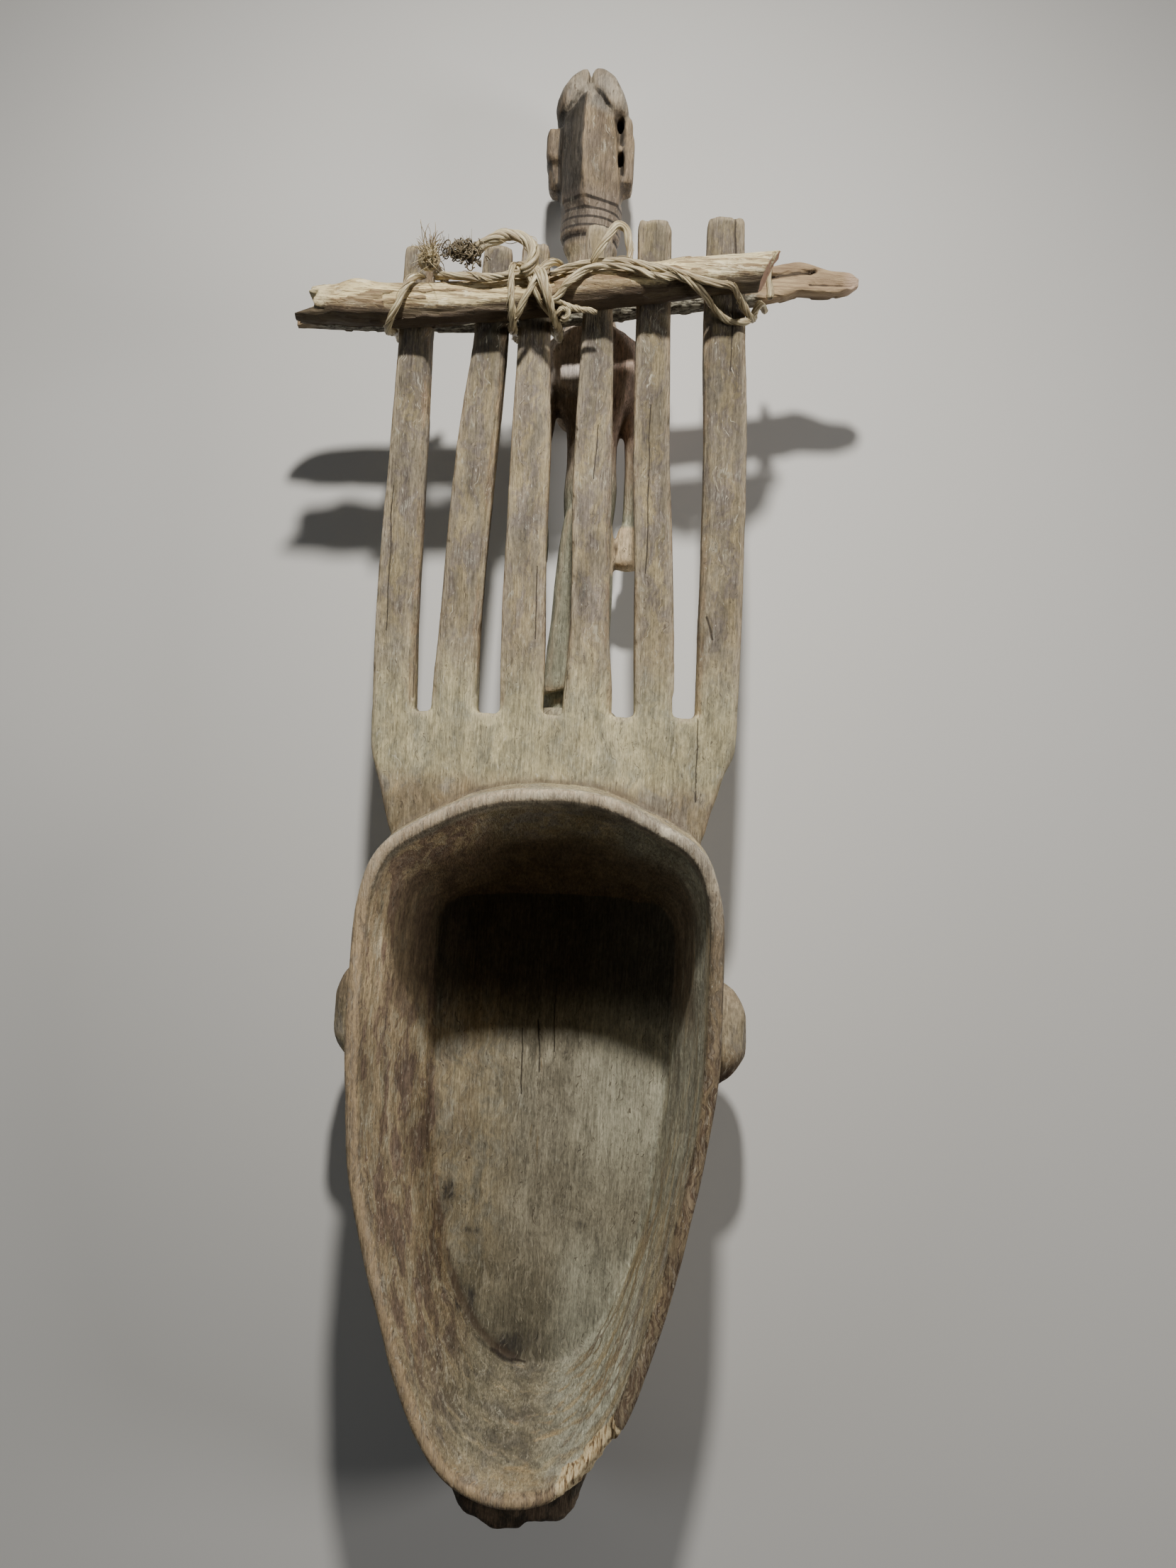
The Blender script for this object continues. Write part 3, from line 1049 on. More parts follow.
def strand_routes():
    """(radius, twist length, points) of every strand."""
    left_turn = turn_points(-61.5, -75.2, -55.6)
    centre = [
        *turn_points(SLOT_LEFT, SLOT_RIGHT, SLOT_RIGHT, 0, (1.5, -3)),
        *turn_points(SLOT_RIGHT, SLOT_LEFT, SLOT_LEFT, 1.2, (-1, 0)),
        *turn_points(SLOT_LEFT, SLOT_LEFT + 1, SLOT_LEFT, 1.6, (-0.5, 0)),
        *turn_points(SLOT_LEFT, SLOT_RIGHT, SLOT_LEFT, 1.9, (5, 1.5)),
        *turn_points(SLOT_LEFT, SLOT_RIGHT, SLOT_RIGHT, 1.9, (9.5, 0)),
    ]
    upper = [
        *on_stick([(-10, 203.4), (-3.3, 206.9), (4, 209.6), (11, 211.4), (18, 211.6), (29, 209.2),
                   (40, 207.4), (50, 205.2), (57, 204.6)]),
        (63, 204.2, 17.4), (68.2, 201.6, 27), (72.3, 198.4, 31.6), (74.4, 198.6, 36), (75.6, 203, 41.5),
        (78.5, 208.8, 45.5), (81, 209, 52), (81.4, 214, 59.2), (81, 225, 59.2), (80.6, 230.4, 52),
        (80.6, 229.2, 45.4), (81.2, 221, 44.2), (82.4, 211, 44.6),
    ]
    lower = [
        *on_stick([(-12, 194), (-8, 194), (-3, 199.5), (3.8, 206), (9.3, 208.6), (15, 208.4), (24, 207.2),
                   (32, 205), (40, 205.6), (47, 203.4)]),
        (53, 200.6, 21.5), (58.5, 198.2, 29), (64, 195.6, 31.8), (69, 195.2, 31.8), (73, 196.6, 32.4),
    ]
    link = on_stick([(-57, 203.8), (-50.7, 201.8), (-38, 200.6), (-31, 201.2), (-24, 202.6), (-17, 204.4)],
                    LINK_RADIUS)
    curl = [
        (-21, 203, 14), (-17.8, 205.6, 13), (-16.6, 210.5, 13.5), (-19.4, 215.6, 14), (-25, 217.4, 14.5),
        (-31, 217, 15), (-36.5, 214.6, 15.5), (-41, 210.5, 15.5),
    ]
    loop = [
        (6.5, 209.6, 17), (9.2, 214.5, 14.5), (12.6, 219.6, 14), (16.2, 224.4, 15), (19.2, 223.4, 16.5),
        (21.2, 217.2, 17), (21.4, 210.6, 16.6),
    ]
    tail = [*on_stick([(-13, 193.4), (-6, 193.4)]), (0.5, 191.8, 19.5), (6, 192, 20), (9.6, 191.4, 21)]
    knot = [
        (-56, 208.4, 40), (-56.6, 208.6, 30), (-57.5, 206.5, 22), (-60.5, 204.4, 18.5), (-61.5, 207.6, 16.5),
        (-58, 210.2, 16), (-55.5, 207.6, 17), (-57.5, 204.4, 18),
    ]
    small_knot = [
        (-6.5, 188.6, 19.4), (-4.6, 191.4, 18), (-2.2, 190.6, 19), (-3, 188, 20.6), (-5.6, 188.4, 20.8),
    ]
    return [
        (CORD_RADIUS, 15, left_turn), (CORD_RADIUS, 17, centre), (CORD_RADIUS, 16, upper),
        (CORD_RADIUS, 13, lower), (LINK_RADIUS, 14, link), (2.7, 15, curl), (1.6, 18, loop), (1.3, 5, tail),
        (1.5, 9, knot), (1.2, 6, small_knot),
    ]


def travelled(path):
    """How far along a path each of its points is."""
    return np.concatenate([[0], np.linalg.norm(np.diff(path, axis=0), axis=1).cumsum()])


def carried_across(path):
    """Two directions across a path at each of its points, carried along it without twisting."""
    ways = np.gradient(path, axis=0)
    ways /= np.linalg.norm(ways, axis=1)[:, None]
    across = np.cross(ways[0], (0.3, 0.2, 0.93))
    sides, ups = [], []
    for way in ways:
        across = across - way * (across @ way)
        across /= np.linalg.norm(across)
        sides.append(across)
        ups.append(np.cross(way, across))
    return np.array(sides), np.array(ups)


def swept(path, radius, count, seed=0):
    """A tube along a path, with the place in the strand of each point: across, across and along.

    The seed moves the places, so that another seed gives another grain.
    """
    sides, ups = carried_across(path)
    angle = np.arange(count) / count * 2 * np.pi
    away = np.cos(angle)[:, None] * sides[:, None] + np.sin(angle)[:, None] * ups[:, None]
    rings = path[:, None] + radius[:, None, None] * away
    inside = (np.cos(angle) * radius[:, None], np.sin(angle) * radius[:, None], travelled(path)[:, None])
    places = np.stack(np.broadcast_arrays(*inside), axis=-1).reshape(-1, 3) + (seed * 17.3, seed * 5.1, 0)
    return loft(rings), np.vstack([places, places[:1], places[-1:]])


def evenly(points, spacing):
    """Carving points (x, y, depth) as a smooth path in space with even steps."""
    fine = catmull_rom([(x, y, height(depth)) for x, y, depth in points], len(points) * 40)
    travel = travelled(fine)
    marks = np.linspace(0, travel[-1], max(3, int(travel[-1] / spacing)))
    return np.column_stack([np.interp(marks, travel, fine[:, k]) for k in range(3)]), marks


PLY_WIDTHS = (0.5, 0.36, 0.44, 0.3, 0.4, 0.33)  # each ply's radius as a share of the strand's


def bundles(path, travel, sides, ups, radius, twist, seed):
    """The strand's plies, twisted round its path and looser here and there, darker where they meet."""
    still = travel * 0
    wander = noise(np.column_stack([travel, still, still]) + seed * 7, 11, seed)
    for ply, width in enumerate(PLY_WIDTHS):
        phase = travel / (twist * 2.1) * 2 * np.pi + ply / len(PLY_WIDTHS) * 2 * np.pi + wander * 1.2
        loose = 0.5 + 0.3 * noise(np.column_stack([travel, still + ply * 9, still]), 7, seed + ply)
        away = np.cos(phase)[:, None] * sides + np.sin(phase)[:, None] * ups
        centre = path + radius * loose[:, None] * away
        uneven = noise(np.column_stack([travel, still, still + ply]), 5, seed + ply + 40)
        thick = radius * (width + 0.1 * uneven)
        thick[:2] *= (0.5, 0.8)
        thick[-2:] *= (0.8, 0.5)
        shell, place = swept(centre, thick, 9, seed + ply)
        axis = np.vstack([np.repeat(path, 9, axis=0), path[:1], path[-1:]])
        gap = 1 - smoothstep(0.45, 0.8, np.linalg.norm(shell[0] - axis, axis=1) / radius)
        yield shell, place, 0.75 * gap


def stray_fibres(path, travel, sides, ups, radius, twist, seed):
    draw = np.random.default_rng(seed)
    for _ in range(int(travel[-1] / 14)):
        start = draw.integers(0, max(1, len(path) - 14))
        length = min(len(path) - start, draw.integers(8, 20))
        part = slice(start, start + length)
        phase = travel[part] / twist * 2 * np.pi * 0.7 + draw.uniform(0, 6.28)
        lift = radius * (1.02 + 0.5 * np.sin(np.linspace(0, np.pi, length)) ** 2 * draw.uniform(0.1, 0.8))
        away = np.cos(phase)[:, None] * sides[part] + np.sin(phase)[:, None] * ups[part]
        if length > 3:
            yield *swept(path[part] + lift[:, None] * away, np.full(length, 0.14), 5, seed + 3), 0


def strand(points, radius, twist, seed):
    """One strand of bast: bundles of fibre and a few stray fibres, each as (shell, place, darkness)."""
    path, travel = evenly(points, 0.9)
    shape = (path, travel, *carried_across(path), radius, twist, seed)
    return [*bundles(*shape), *stray_fibres(*shape)]


# Frayed tufts as (root, aim, fibres, length, spread, curl, seed, fibre radius, darkness)
TUFTS = [
    ((-57.6, 208.4, 17), (-0.05, 1, 0.4), 60, 9.5, 0.4, 0.3, 201, 0.26, 0),
    ((-58.6, 207, 16), (-0.3, 0.4, 0.8), 44, 5.5, 0.9, 0.6, 202, 0.28, 0),
    ((-40.5, 211, 15.5), (-1, 0.1, 0.3), 40, 8, 0.4, 0.3, 203, 0.17, 0.4),
    ((-50, 209.6, 15.4), (-1, 0.3, 0.2), 30, 4.6, 0.6, 0.5, 204, 0.17, 1),
]


def tuft(root, aim, count, length, spread, curl, seed, thick, dark):
    """Frayed fibres from a root, each with its own bend."""
    draw = np.random.default_rng(seed)
    share = np.linspace(0, 1, 12)[:, None]
    for _ in range(count):
        way = np.array(aim, float) + draw.normal(0, spread, 3)
        way /= np.linalg.norm(way)
        bend = draw.normal(0, curl, 3)
        reach = length * draw.uniform(0.45, 1)
        wave = 0.5 * np.sin(share * draw.uniform(4, 11) + draw.uniform(0, 6)) * draw.normal(0, 0.8, 3)
        path = at(*root) + draw.normal(0, 0.9, 3)
        path = path + way * reach * share + bend * reach * share ** 2 + wave * share
        yield *swept(path, thick * (1 - 0.6 * share[:, 0]), 5, seed), dark


def dark_clump(seed, dark):
    """The frayed, matted end of the curled strand."""
    draw = np.random.default_rng(seed)
    for _ in range(110):
        centre = at(-44, 210, 15.4) + draw.normal(0, 1, 3) * (3.6, 1.9, 1.6)
        turn = draw.uniform(0, 6.28, 3)
        share = np.linspace(0, draw.uniform(3, 7), 13)
        size = draw.uniform(0.8, 2.0)
        loops = [np.sin(share + turn[0]), np.cos(share * 1.2 + turn[1]), np.sin(share * 0.8 + turn[2])]
        yield *swept(centre + size * np.column_stack(loops), np.full(13, 0.26), 5, seed), dark


def lashing_mesh():
    fibres = []
    for seed, (radius, twist, points) in enumerate(strand_routes()):
        fibres += strand(points, radius, twist, seed * 10 + 1)
    for settings in TUFTS:
        fibres += tuft(*settings)
    fibres += dark_clump(205, 0.9)
    shells, places, darkness = zip(*fibres)
    tones = [np.broadcast_to(dark, len(place)) for dark, place in zip(darkness, places)]
    mesh = mesh_of("lashing", together([outward(shell) for shell in shells]))
    keep_on(mesh, "strand_place", np.vstack(places), "FLOAT_VECTOR", "vector")
    keep_on(mesh, "tone", np.concatenate(tones))
    return mesh


# The four pieces

def placed(mesh):
    """Moves a mesh from carving millimetres to the frame's metres, kept inside the CAD model's box."""
    moved = (coordinates(mesh) + CARVING_ORIGIN) / 1000
    move_points(mesh, np.clip(moved, np.array(CAD_BOX[0]), np.array(CAD_BOX[1])))
    return mesh


def finished_piece(name, mesh, material, node):
    """Names the mesh's object and ties it to the frame and to the CAD node that it stands for."""
    placed(mesh).shade_smooth()
    piece = bpy.data.objects.new(name, mesh)
    bpy.context.scene.collection.objects.link(piece)
    mesh.materials.clear()
    mesh.materials.append(material)
    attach(piece, "root")
    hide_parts(node)


def carved_mask(material):
    body = carved_shape()
    mesh = body.data
    ends = rows(mesh.edges, "vertices", np.int32, 2)
    points = smoothed(coordinates(mesh), ends, 2)
    move_points(mesh, points)
    normals = rows(mesh.vertex_normals, "vector", np.float32, 3).astype(float)
    points, sharp, fresh = weathered(points, normals, ends)
    points[:, 2] = np.maximum(points[:, 2], 0)
    move_points(mesh, points)
    keep_on(mesh, "wear", np.clip(0.5 + sharp * 1.1, 0, 1))
    keep_on(mesh, "fresh", fresh)
    keep_on(mesh, "stain", stain_strength(points))
    thinned(body, MOST_TRIANGLES)
    mesh = body.data
    bpy.data.objects.remove(body)
    finished_piece("mask_body", mesh, material, "carved_mask")


def front_stick(material):
    shell, bark, under = stick_shell()
    mesh = mesh_of("front_stick", shell)
    # The middle point of each end has neither
    for name, values in (("bark", bark), ("under", under)):
        keep_on(mesh, name, np.concatenate([values, (0, 0)]))
    finished_piece("cross_stick", mesh, material, "front_stick")


def rear_lath(material):
    finished_piece("cross_lath", mesh_of("rear_lath", lath_shell()), material, "rear_lath")


def lashing(material):
    finished_piece("cord_lashing", lashing_mesh(), material, "lashing")


# Materials

class Shade:
    """One material: the colour painted so far, and named values such as places, slopes and noises.

    A mask is a number or a socket from 0 to 1. A range such as y=(-2, -10) is a mask that rises from 0 to 1
    as the value of that name goes from the first limit to the second; longer ranges hold several pairs.
    """

    def __init__(self, name):
        self.material = bpy.data.materials.new(name)
        self.material.use_nodes = True
        self.tree = self.material.node_tree
        self.shader = self.tree.nodes["Principled BSDF"]
        self.colour = None
        place = self.node("TexCoord", {}, output="Object")
        shift = tuple(-value for value in CARVING_ORIGIN)
        self.spot = self.scaled(place, (1000, 1000, 1000), shift)
        self.x, self.y, self.z = self.split(self.spot)
        self.across, _, self.up = self.split(self.node("NewGeometry", {}, output="Normal"))

    def node(self, kind, inputs, output=0, **settings):
        made = self.tree.nodes.new("ShaderNode" + kind)
        for name, value in settings.items():
            setattr(made, name, value)
        for key, value in inputs.items():
            self.put(made.inputs[key], value)
        return made.outputs[output]

    def put(self, socket, value):
        if isinstance(value, bpy.types.NodeSocket):
            self.tree.links.new(value, socket)
        elif socket.type == "RGBA" and len(value) == 3:
            socket.default_value = (*value, 1)
        else:
            socket.default_value = value

    def math(self, operation, first, second=0.0):
        return self.node("Math", {0: first, 1: second}, operation=operation)

    def vector(self, operation, first, second):
        return self.node("VectorMath", {0: first, 1: second}, operation=operation)

    def scaled(self, vector, scale, shift):
        return self.node("VectorMath", {0: vector, 1: scale, 2: shift}, operation="MULTIPLY_ADD")

    def split(self, vector):
        return self.node("SeparateXYZ", {0: vector}).node.outputs

    def attribute(self, name, output="Fac"):
        """A value that the mesh holds for each of its points."""
        return self.node("Attribute", {}, output=output, attribute_name=name)

    def noise(self, vector, stretch, detail, roughness, seed=0.0):
        """Noise from 0 to 1 whose cells are as long as the stretch along each axis."""
        cells = tuple(1 / size for size in stretch)
        moved = self.scaled(vector, cells, (seed, seed, seed))
        settings = {"Vector": moved, "Scale": 1.0, "Detail": detail, "Roughness": roughness}
        return self.node("TexNoise", settings)

    def noises(self, vector, **kinds):
        """Named noises, each as (stretch, detail, roughness, seed)."""
        for name, settings in kinds.items():
            setattr(self, name, self.noise(vector, *settings))

    def step(self, value, low, high):
        limits = {"Value": value, "From Min": low, "From Max": high}
        return self.node("MapRange", limits, interpolation_type="SMOOTHSTEP")

    def zone(self, *masks, **ranges):
        """The product of all masks and ranges."""
        for name, limits in ranges.items():
            pairs = zip(limits[::2], limits[1::2])
            masks += tuple(self.step(getattr(self, name), low, high) for low, high in pairs)
        product = masks[0]
        for mask in masks[1:]:
            product = self.math("MULTIPLY", product, mask)
        return product

    def most(self, *masks):
        largest = masks[0]
        for mask in masks[1:]:
            largest = self.math("MAXIMUM", largest, mask)
        return largest

    def outside(self, *masks):
        """1 where none of the masks is."""
        return self.math("SUBTRACT", 1.0, self.most(*masks))

    def shaken(self, value, ripple, amount):
        """The value, moved up and down by a noise."""
        return self.math("ADD", value, self.math("MULTIPLY", self.math("SUBTRACT", ripple, 0.5), amount))

    def mix(self, share, first, second):
        return self.node("Mix", {0: share, 6: first, 7: second}, output=2, data_type="RGBA")

    def two(self, first, second, **ranges):
        """The first colour, and the second one where the ranges are."""
        return self.mix(self.zone(**ranges), first, second)

    def over(self, below, colour, *masks, **ranges):
        return self.mix(self.zone(*masks, **ranges), below, colour)

    def paint(self, colour, *masks, **ranges):
        """Lays a colour over what is painted so far."""
        self.colour = self.over(self.colour, colour, *masks, **ranges)

    def tone(self, value, low, high, dark, light):
        """Brightness that runs from dark to light as the value runs from low to high."""
        limits = {"Value": value, "From Min": low, "From Max": high, "To Min": dark, "To Max": light}
        return self.node("MapRange", limits)

    def toned(self, colour, *tones):
        """The colour made darker or lighter by the product of the tones."""
        return self.node("VectorMath", {0: colour, "Scale": self.zone(*tones)}, operation="SCALE")

    def times(self, amount, *masks, **ranges):
        """Makes what is painted so far darker or lighter by an amount."""
        self.colour = self.toned(self.colour, self.tone(self.zone(*masks, **ranges), 0, 1, 1, amount))

    def vary(self, **tones):
        """Makes what is painted so far darker or lighter by named values: (low, high, dark, light)."""
        made = [self.tone(getattr(self, name), *settings) for name, settings in tones.items()]
        self.colour = self.toned(self.colour, *made)

    def ball(self, vector, centre, radii):
        """A soft ellipsoid: 1 in the middle and 0 outside."""
        away = self.vector("DIVIDE", self.vector("SUBTRACT", vector, centre), radii)
        length = self.node("VectorMath", {0: away}, output="Value", operation="LENGTH")
        return self.step(length, 1.5, 0.5)

    def crack(self, vector, start, end, width):
        """A thin line from start to end: 1 on it and 0 beside it."""
        start, end = np.array(start, float) * CRACK_REACH, np.array(end, float) * CRACK_REACH
        span = end - start
        away = self.vector("SUBTRACT", vector, tuple(start))
        share = {0: away, 1: tuple(span / (span @ span))}
        along = self.node("VectorMath", share, output="Value", operation="DOT_PRODUCT")
        along = self.node("Clamp", {"Value": along})
        nearest = self.node("VectorMath", {0: tuple(span), "Scale": along}, operation="SCALE")
        off = self.node("VectorMath", {0: away, 1: nearest}, output="Value", operation="DISTANCE")
        return self.step(off, width, width * 0.35)

    def finish(self, roughness, distance, specular=0.3, **relief):
        """Connects the colour, and a relief that is a sum of named values with their shares."""
        self.put(self.shader.inputs["Base Color"], self.colour)
        self.put(self.shader.inputs["Roughness"], roughness)
        self.shader.inputs["Specular IOR Level"].default_value = specular
        terms = [self.math("MULTIPLY", getattr(self, name), share) for name, share in relief.items()]
        height_above = terms[0]
        for term in terms[1:]:
            height_above = self.math("ADD", height_above, term)
        bump = self.node("Bump", {"Height": height_above, "Distance": distance, "Strength": 1.0})
        self.put(self.shader.inputs["Normal"], bump)
        return self.material


def wood_grain(wood):
    """The noises of the carving's wood, and its first colour."""
    # Lines and stains waver with the wood
    waver = wood.node("TexNoise", {"Vector": wood.spot, "Scale": 0.07, "Detail": 3.0}, output="Color")
    wood.wavered = wood.vector("SUBTRACT", wood.scaled(waver, (14, 14, 14), wood.spot), (7, 7, 7))
    wood.noises(wood.spot, broad=((22, 52, 22), 4, 0.6), grain=((1.1, 22, 3), 4, 0.62),
                fine=((0.5, 6, 1.5), 3, 0.65, 9), speck=((0.9, 2.6, 2.2), 3, 0.7, 2),
                fibre=((0.9, 12, 4), 3, 0.6, 14))
    wood.noises(wood.wavered, patch=((11, 24, 11), 5, 0.65, 4), pore=((0.7, 30, 0.7), 2, 0.5, 5),
                bloom=((7, 17, 7), 5, 0.7, 12), flame=((6, 34, 15), 4, 0.58, 21),
                scratch=((0.55, 12, 2), 2, 0.45, 31), blotch=((9, 34, 9), 3, 0.55, 41),
                stroke=((1.6, 13, 13), 3, 0.5, 51))
    wood.colour = wood.two((0.41, 0.345, 0.215), (0.3, 0.24, 0.155), broad=(0.38, 0.64))
    wood.paint((0.27, 0.245, 0.205), 0.75, patch=(0.5, 0.62))
    wood.paint((0.43, 0.32, 0.175), 0.6, patch=(0.46, 0.36))


def wood_places(wood):
    """Where on the carving the surface is."""
    wood.off_centre = wood.math("ABSOLUTE", wood.x)
    wood.sideways = wood.math("ABSOLUTE", wood.across)
    wood.below_crown = wood.zone(y=(-2, -10))
    wood.inner = wood.zone(wood.below_crown, up=(-0.02, 0.1))
    wood.deep = wood.zone(wood.inner, z=(96, 72))
    wood.floor = wood.zone(wood.below_crown, up=(0.75, 0.93), z=(48, 40, 31, 32))
    wood.left_wall = wood.zone(wood.inner, across=(0.02, 0.3), x=(-16, -30), z=(117, 110))
    wood.right_wall = wood.zone(wood.inner, across=(-0.05, -0.3), x=(26, 38), z=(117, 110))
    wood.shadowed = wood.zone(wood.deep, y=(-114, -88))
    wood.comb = wood.zone(y=(2, 14), z=(68, 72))
    wood.head = wood.zone(y=(240, 248))
    wood.left_of_head = wood.zone(0.9, y=(258, 264, 313, 305), across=(-0.12, -0.4))
    wood.chin = wood.zone(y=(-284, -292), z=(68, 58))
    wood.ear_end = wood.ball(wood.wavered, (88, -130, 54), (20, 21, 24))
    wood.ragged = wood.shaken(wood.z, wood.patch, 14.0)
    wood.rim = wood.zone(wood.below_crown, ragged=(112, 116))
    wood.crown = wood.zone(z=(108, 114), y=(-60, -20))


def paint_hollow(wood):
    """A greenish grey floor, paler at its right, a red-brown left wall and a dull right wall."""
    colour = wood.two((0.385, 0.35, 0.26), (0.277, 0.25, 0.182), patch=(0.36, 0.62))
    colour = wood.over(colour, (0.4, 0.32, 0.185), 0.6, x=(2, -26), bloom=(0.6, 0.44))
    colour = wood.over(colour, (0.5, 0.475, 0.355), 0.8, x=(8, 40), y=(-215, -150))
    colour = wood.over(colour, (0.215, 0.19, 0.13), 0.7, y=(-185, -240))
    wood.paint(colour, wood.floor)
    bowl = wood.two((0.2, 0.183, 0.13), (0.132, 0.12, 0.088), patch=(0.4, 0.58))
    wood.paint(bowl, wood.inner, 0.8, y=(-215, -255), z=(112, 96))
    wood.paint((0.5, 0.5, 0.4), wood.inner, 0.55, x=(8, 26), y=(-190, -225))
    red = wood.two((0.43, 0.325, 0.195), (0.25, 0.17, 0.118), flame=(0.475, 0.52))
    red = wood.over(red, (0.2, 0.13, 0.1), 0.75, flame=(0.56, 0.6))
    wood.paint(red, wood.left_wall, 0.82, y=(-285, -215))
    wood.paint((0.6, 0.52, 0.36), wood.left_wall, 0.7, flame=(0.44, 0.4), bloom=(0.46, 0.56))
    wood.times(0.7, wood.left_wall, y=(-80, -160))
    wood.times(1.4, wood.left_wall, y=(-120, -60))
    dull = wood.two((0.38, 0.38, 0.295), (0.26, 0.255, 0.195), stroke=(0.42, 0.58))
    wood.paint(dull, wood.right_wall, 0.8)
    wood.times(1.4, wood.right_wall, y=(-185, -225))
    wood.paint(wood.mix(wood.floor, (0.14, 0.1, 0.06), (0.05, 0.04, 0.024)), wood.shadowed, 0.85)


def paint_comb(wood):
    """The plate is palest, and the flanks of the prongs are orange-tan."""
    plate = wood.two((0.49, 0.44, 0.262), (0.385, 0.36, 0.235), bloom=(0.42, 0.6))
    wood.paint(plate, 0.7, y=(-4, 6, 70, 30), z=(68, 72))
    prongs = wood.zone(wood.comb, y=(30, 80))
    tan = wood.two((0.335, 0.27, 0.155), (0.23, 0.195, 0.142), flame=(0.4, 0.58))
    wood.paint(tan, prongs, 0.75)
    wood.paint((0.235, 0.195, 0.175), prongs, 0.6, bloom=(0.48, 0.56))
    wood.paint((0.4, 0.375, 0.3), prongs, 0.6, patch=(0.43, 0.37), bloom=(0.5, 0.44))
    wood.times(0.8, prongs, off_centre=(20, 32))
    wood.times(0.78, prongs, y=(120, 190))
    wood.paint((0.32, 0.215, 0.125), wood.comb, 0.5, sideways=(0.35, 0.8), y=(20, 32), patch=(0.56, 0.42))


def paint_figure(wood):
    """Brown, with a grey left side to the head, dark rings round the neck and a greenish leg."""
    figure = wood.zone(z=(70, 62), y=(26, 36))
    wood.paint((0.26, 0.195, 0.145), figure, 0.8, y=(240, 232))
    wood.paint((0.62, 0.55, 0.5), figure, 0.9, y=(172, 178, 222, 212), up=(0.5, 0.85))
    wood.paint((0.6, 0.43, 0.34), figure, 0.85, y=(150, 160, 210, 200), x=(15, 20))
    wood.paint((0.27, 0.275, 0.2), figure, 0.85, y=(150, 122))
    wood.paint((0.62, 0.5, 0.33), figure, x=(20, 22), y=(95, 97, 119, 117))
    brown = wood.two((0.26, 0.195, 0.122), (0.17, 0.126, 0.09), flame=(0.4, 0.6))
    wood.paint(brown, wood.head, 0.85)
    lobes = wood.two((0.38, 0.34, 0.275), (0.25, 0.235, 0.205), bloom=(0.42, 0.6))
    wood.paint(lobes, 0.7, y=(298, 303), z=(40, 44))
    grey = wood.two((0.038, 0.035, 0.031), (0.018, 0.017, 0.015), bloom=(0.42, 0.6))
    wood.paint(grey, wood.left_of_head)
    neck_colour = wood.two((0.25, 0.2, 0.155), (0.08, 0.066, 0.055), across=(0.2, -0.35))
    wood.paint(neck_colour, 0.85, y=(240, 246, 268, 262))
    wood.ring_line = wood.math("PINGPONG", wood.math("SUBTRACT", wood.y, 246.0), 1.95)
    wood.paint((0.025, 0.019, 0.015), 0.9, ring_line=(0.95, 0.4), y=(244, 245.5, 263.4, 262.4))


def paint_dark_ends(wood):
    """The broken chin and the lower end of the right ear are dark brown."""
    stump = wood.two((0.125, 0.078, 0.047), (0.035, 0.022, 0.015), bloom=(0.42, 0.6))
    wood.paint(stump, wood.chin, 0.85)
    wood.paint((0.07, 0.04, 0.024), wood.ear_end, 0.95)
    wood.paint((0.47, 0.4, 0.28), wood.ball(wood.wavered, (82, -96, 64), (9, 16, 22)), 0.35)


def paint_rim(wood):
    """Orange-tan, dark brown in places, and polished grey at the crown."""
    tan = wood.two((0.39, 0.285, 0.165), (0.215, 0.165, 0.115), stroke=(0.44, 0.56))
    wood.paint(wood.toned(tan, wood.tone(wood.zone(x=(10, 50)), 0, 1, 1, 0.5)), wood.rim, 0.8)
    wood.paint((0.09, 0.055, 0.035), wood.rim, 0.85, stroke=(0.46, 0.54), x=(-10, 30), y=(-70, -120))
    grey = wood.two((0.56, 0.51, 0.4), (0.36, 0.32, 0.26), bloom=(0.4, 0.6))
    wood.paint(grey, wood.crown, 0.65)


def paint_marks(wood):
    """Stains, pale scuffs and dry bloom, grain, pores and scratches."""
    wood.stain = wood.attribute("stain")
    wood.broken_up = wood.shaken(wood.stain, wood.fine, 1.3)
    wood.paint((0.06, 0.055, 0.05), broken_up=(0.25, 0.85), stain=(0.02, 0.2))
    marks_show = wood.outside(wood.shadowed, wood.chin, wood.left_of_head)
    wood.paint((0.55, 0.53, 0.43), marks_show, 0.55, bloom=(0.56, 0.7), fine=(0.4, 0.58))
    wood.vary(grain=(0.34, 0.66, 0.78, 1.2), fine=(0.34, 0.66, 0.78, 1.22), speck=(0.34, 0.66, 0.8, 1.2),
              bloom=(0.35, 0.65, 1.16, 0.84), blotch=(0.38, 0.62, 0.84, 1.16))
    wood.paint((0.56, 0.51, 0.39), wood.inner, marks_show, 0.3, stroke=(0.56, 0.62), fine=(0.36, 0.55))
    wood.paint((0.085, 0.065, 0.045), 0.7, pore=(0.645, 0.7))
    wood.paint((0.1, 0.085, 0.07), 0.65, scratch=(0.35, 0.29), patch=(0.46, 0.56))
    wood.paint((0.62, 0.57, 0.44), marks_show, 0.6, scratch=(0.65, 0.7), patch=(0.54, 0.44))
    wood.paint((0.6, 0.57, 0.47), marks_show, 0.8, speck=(0.66, 0.72), bloom=(0.44, 0.56))


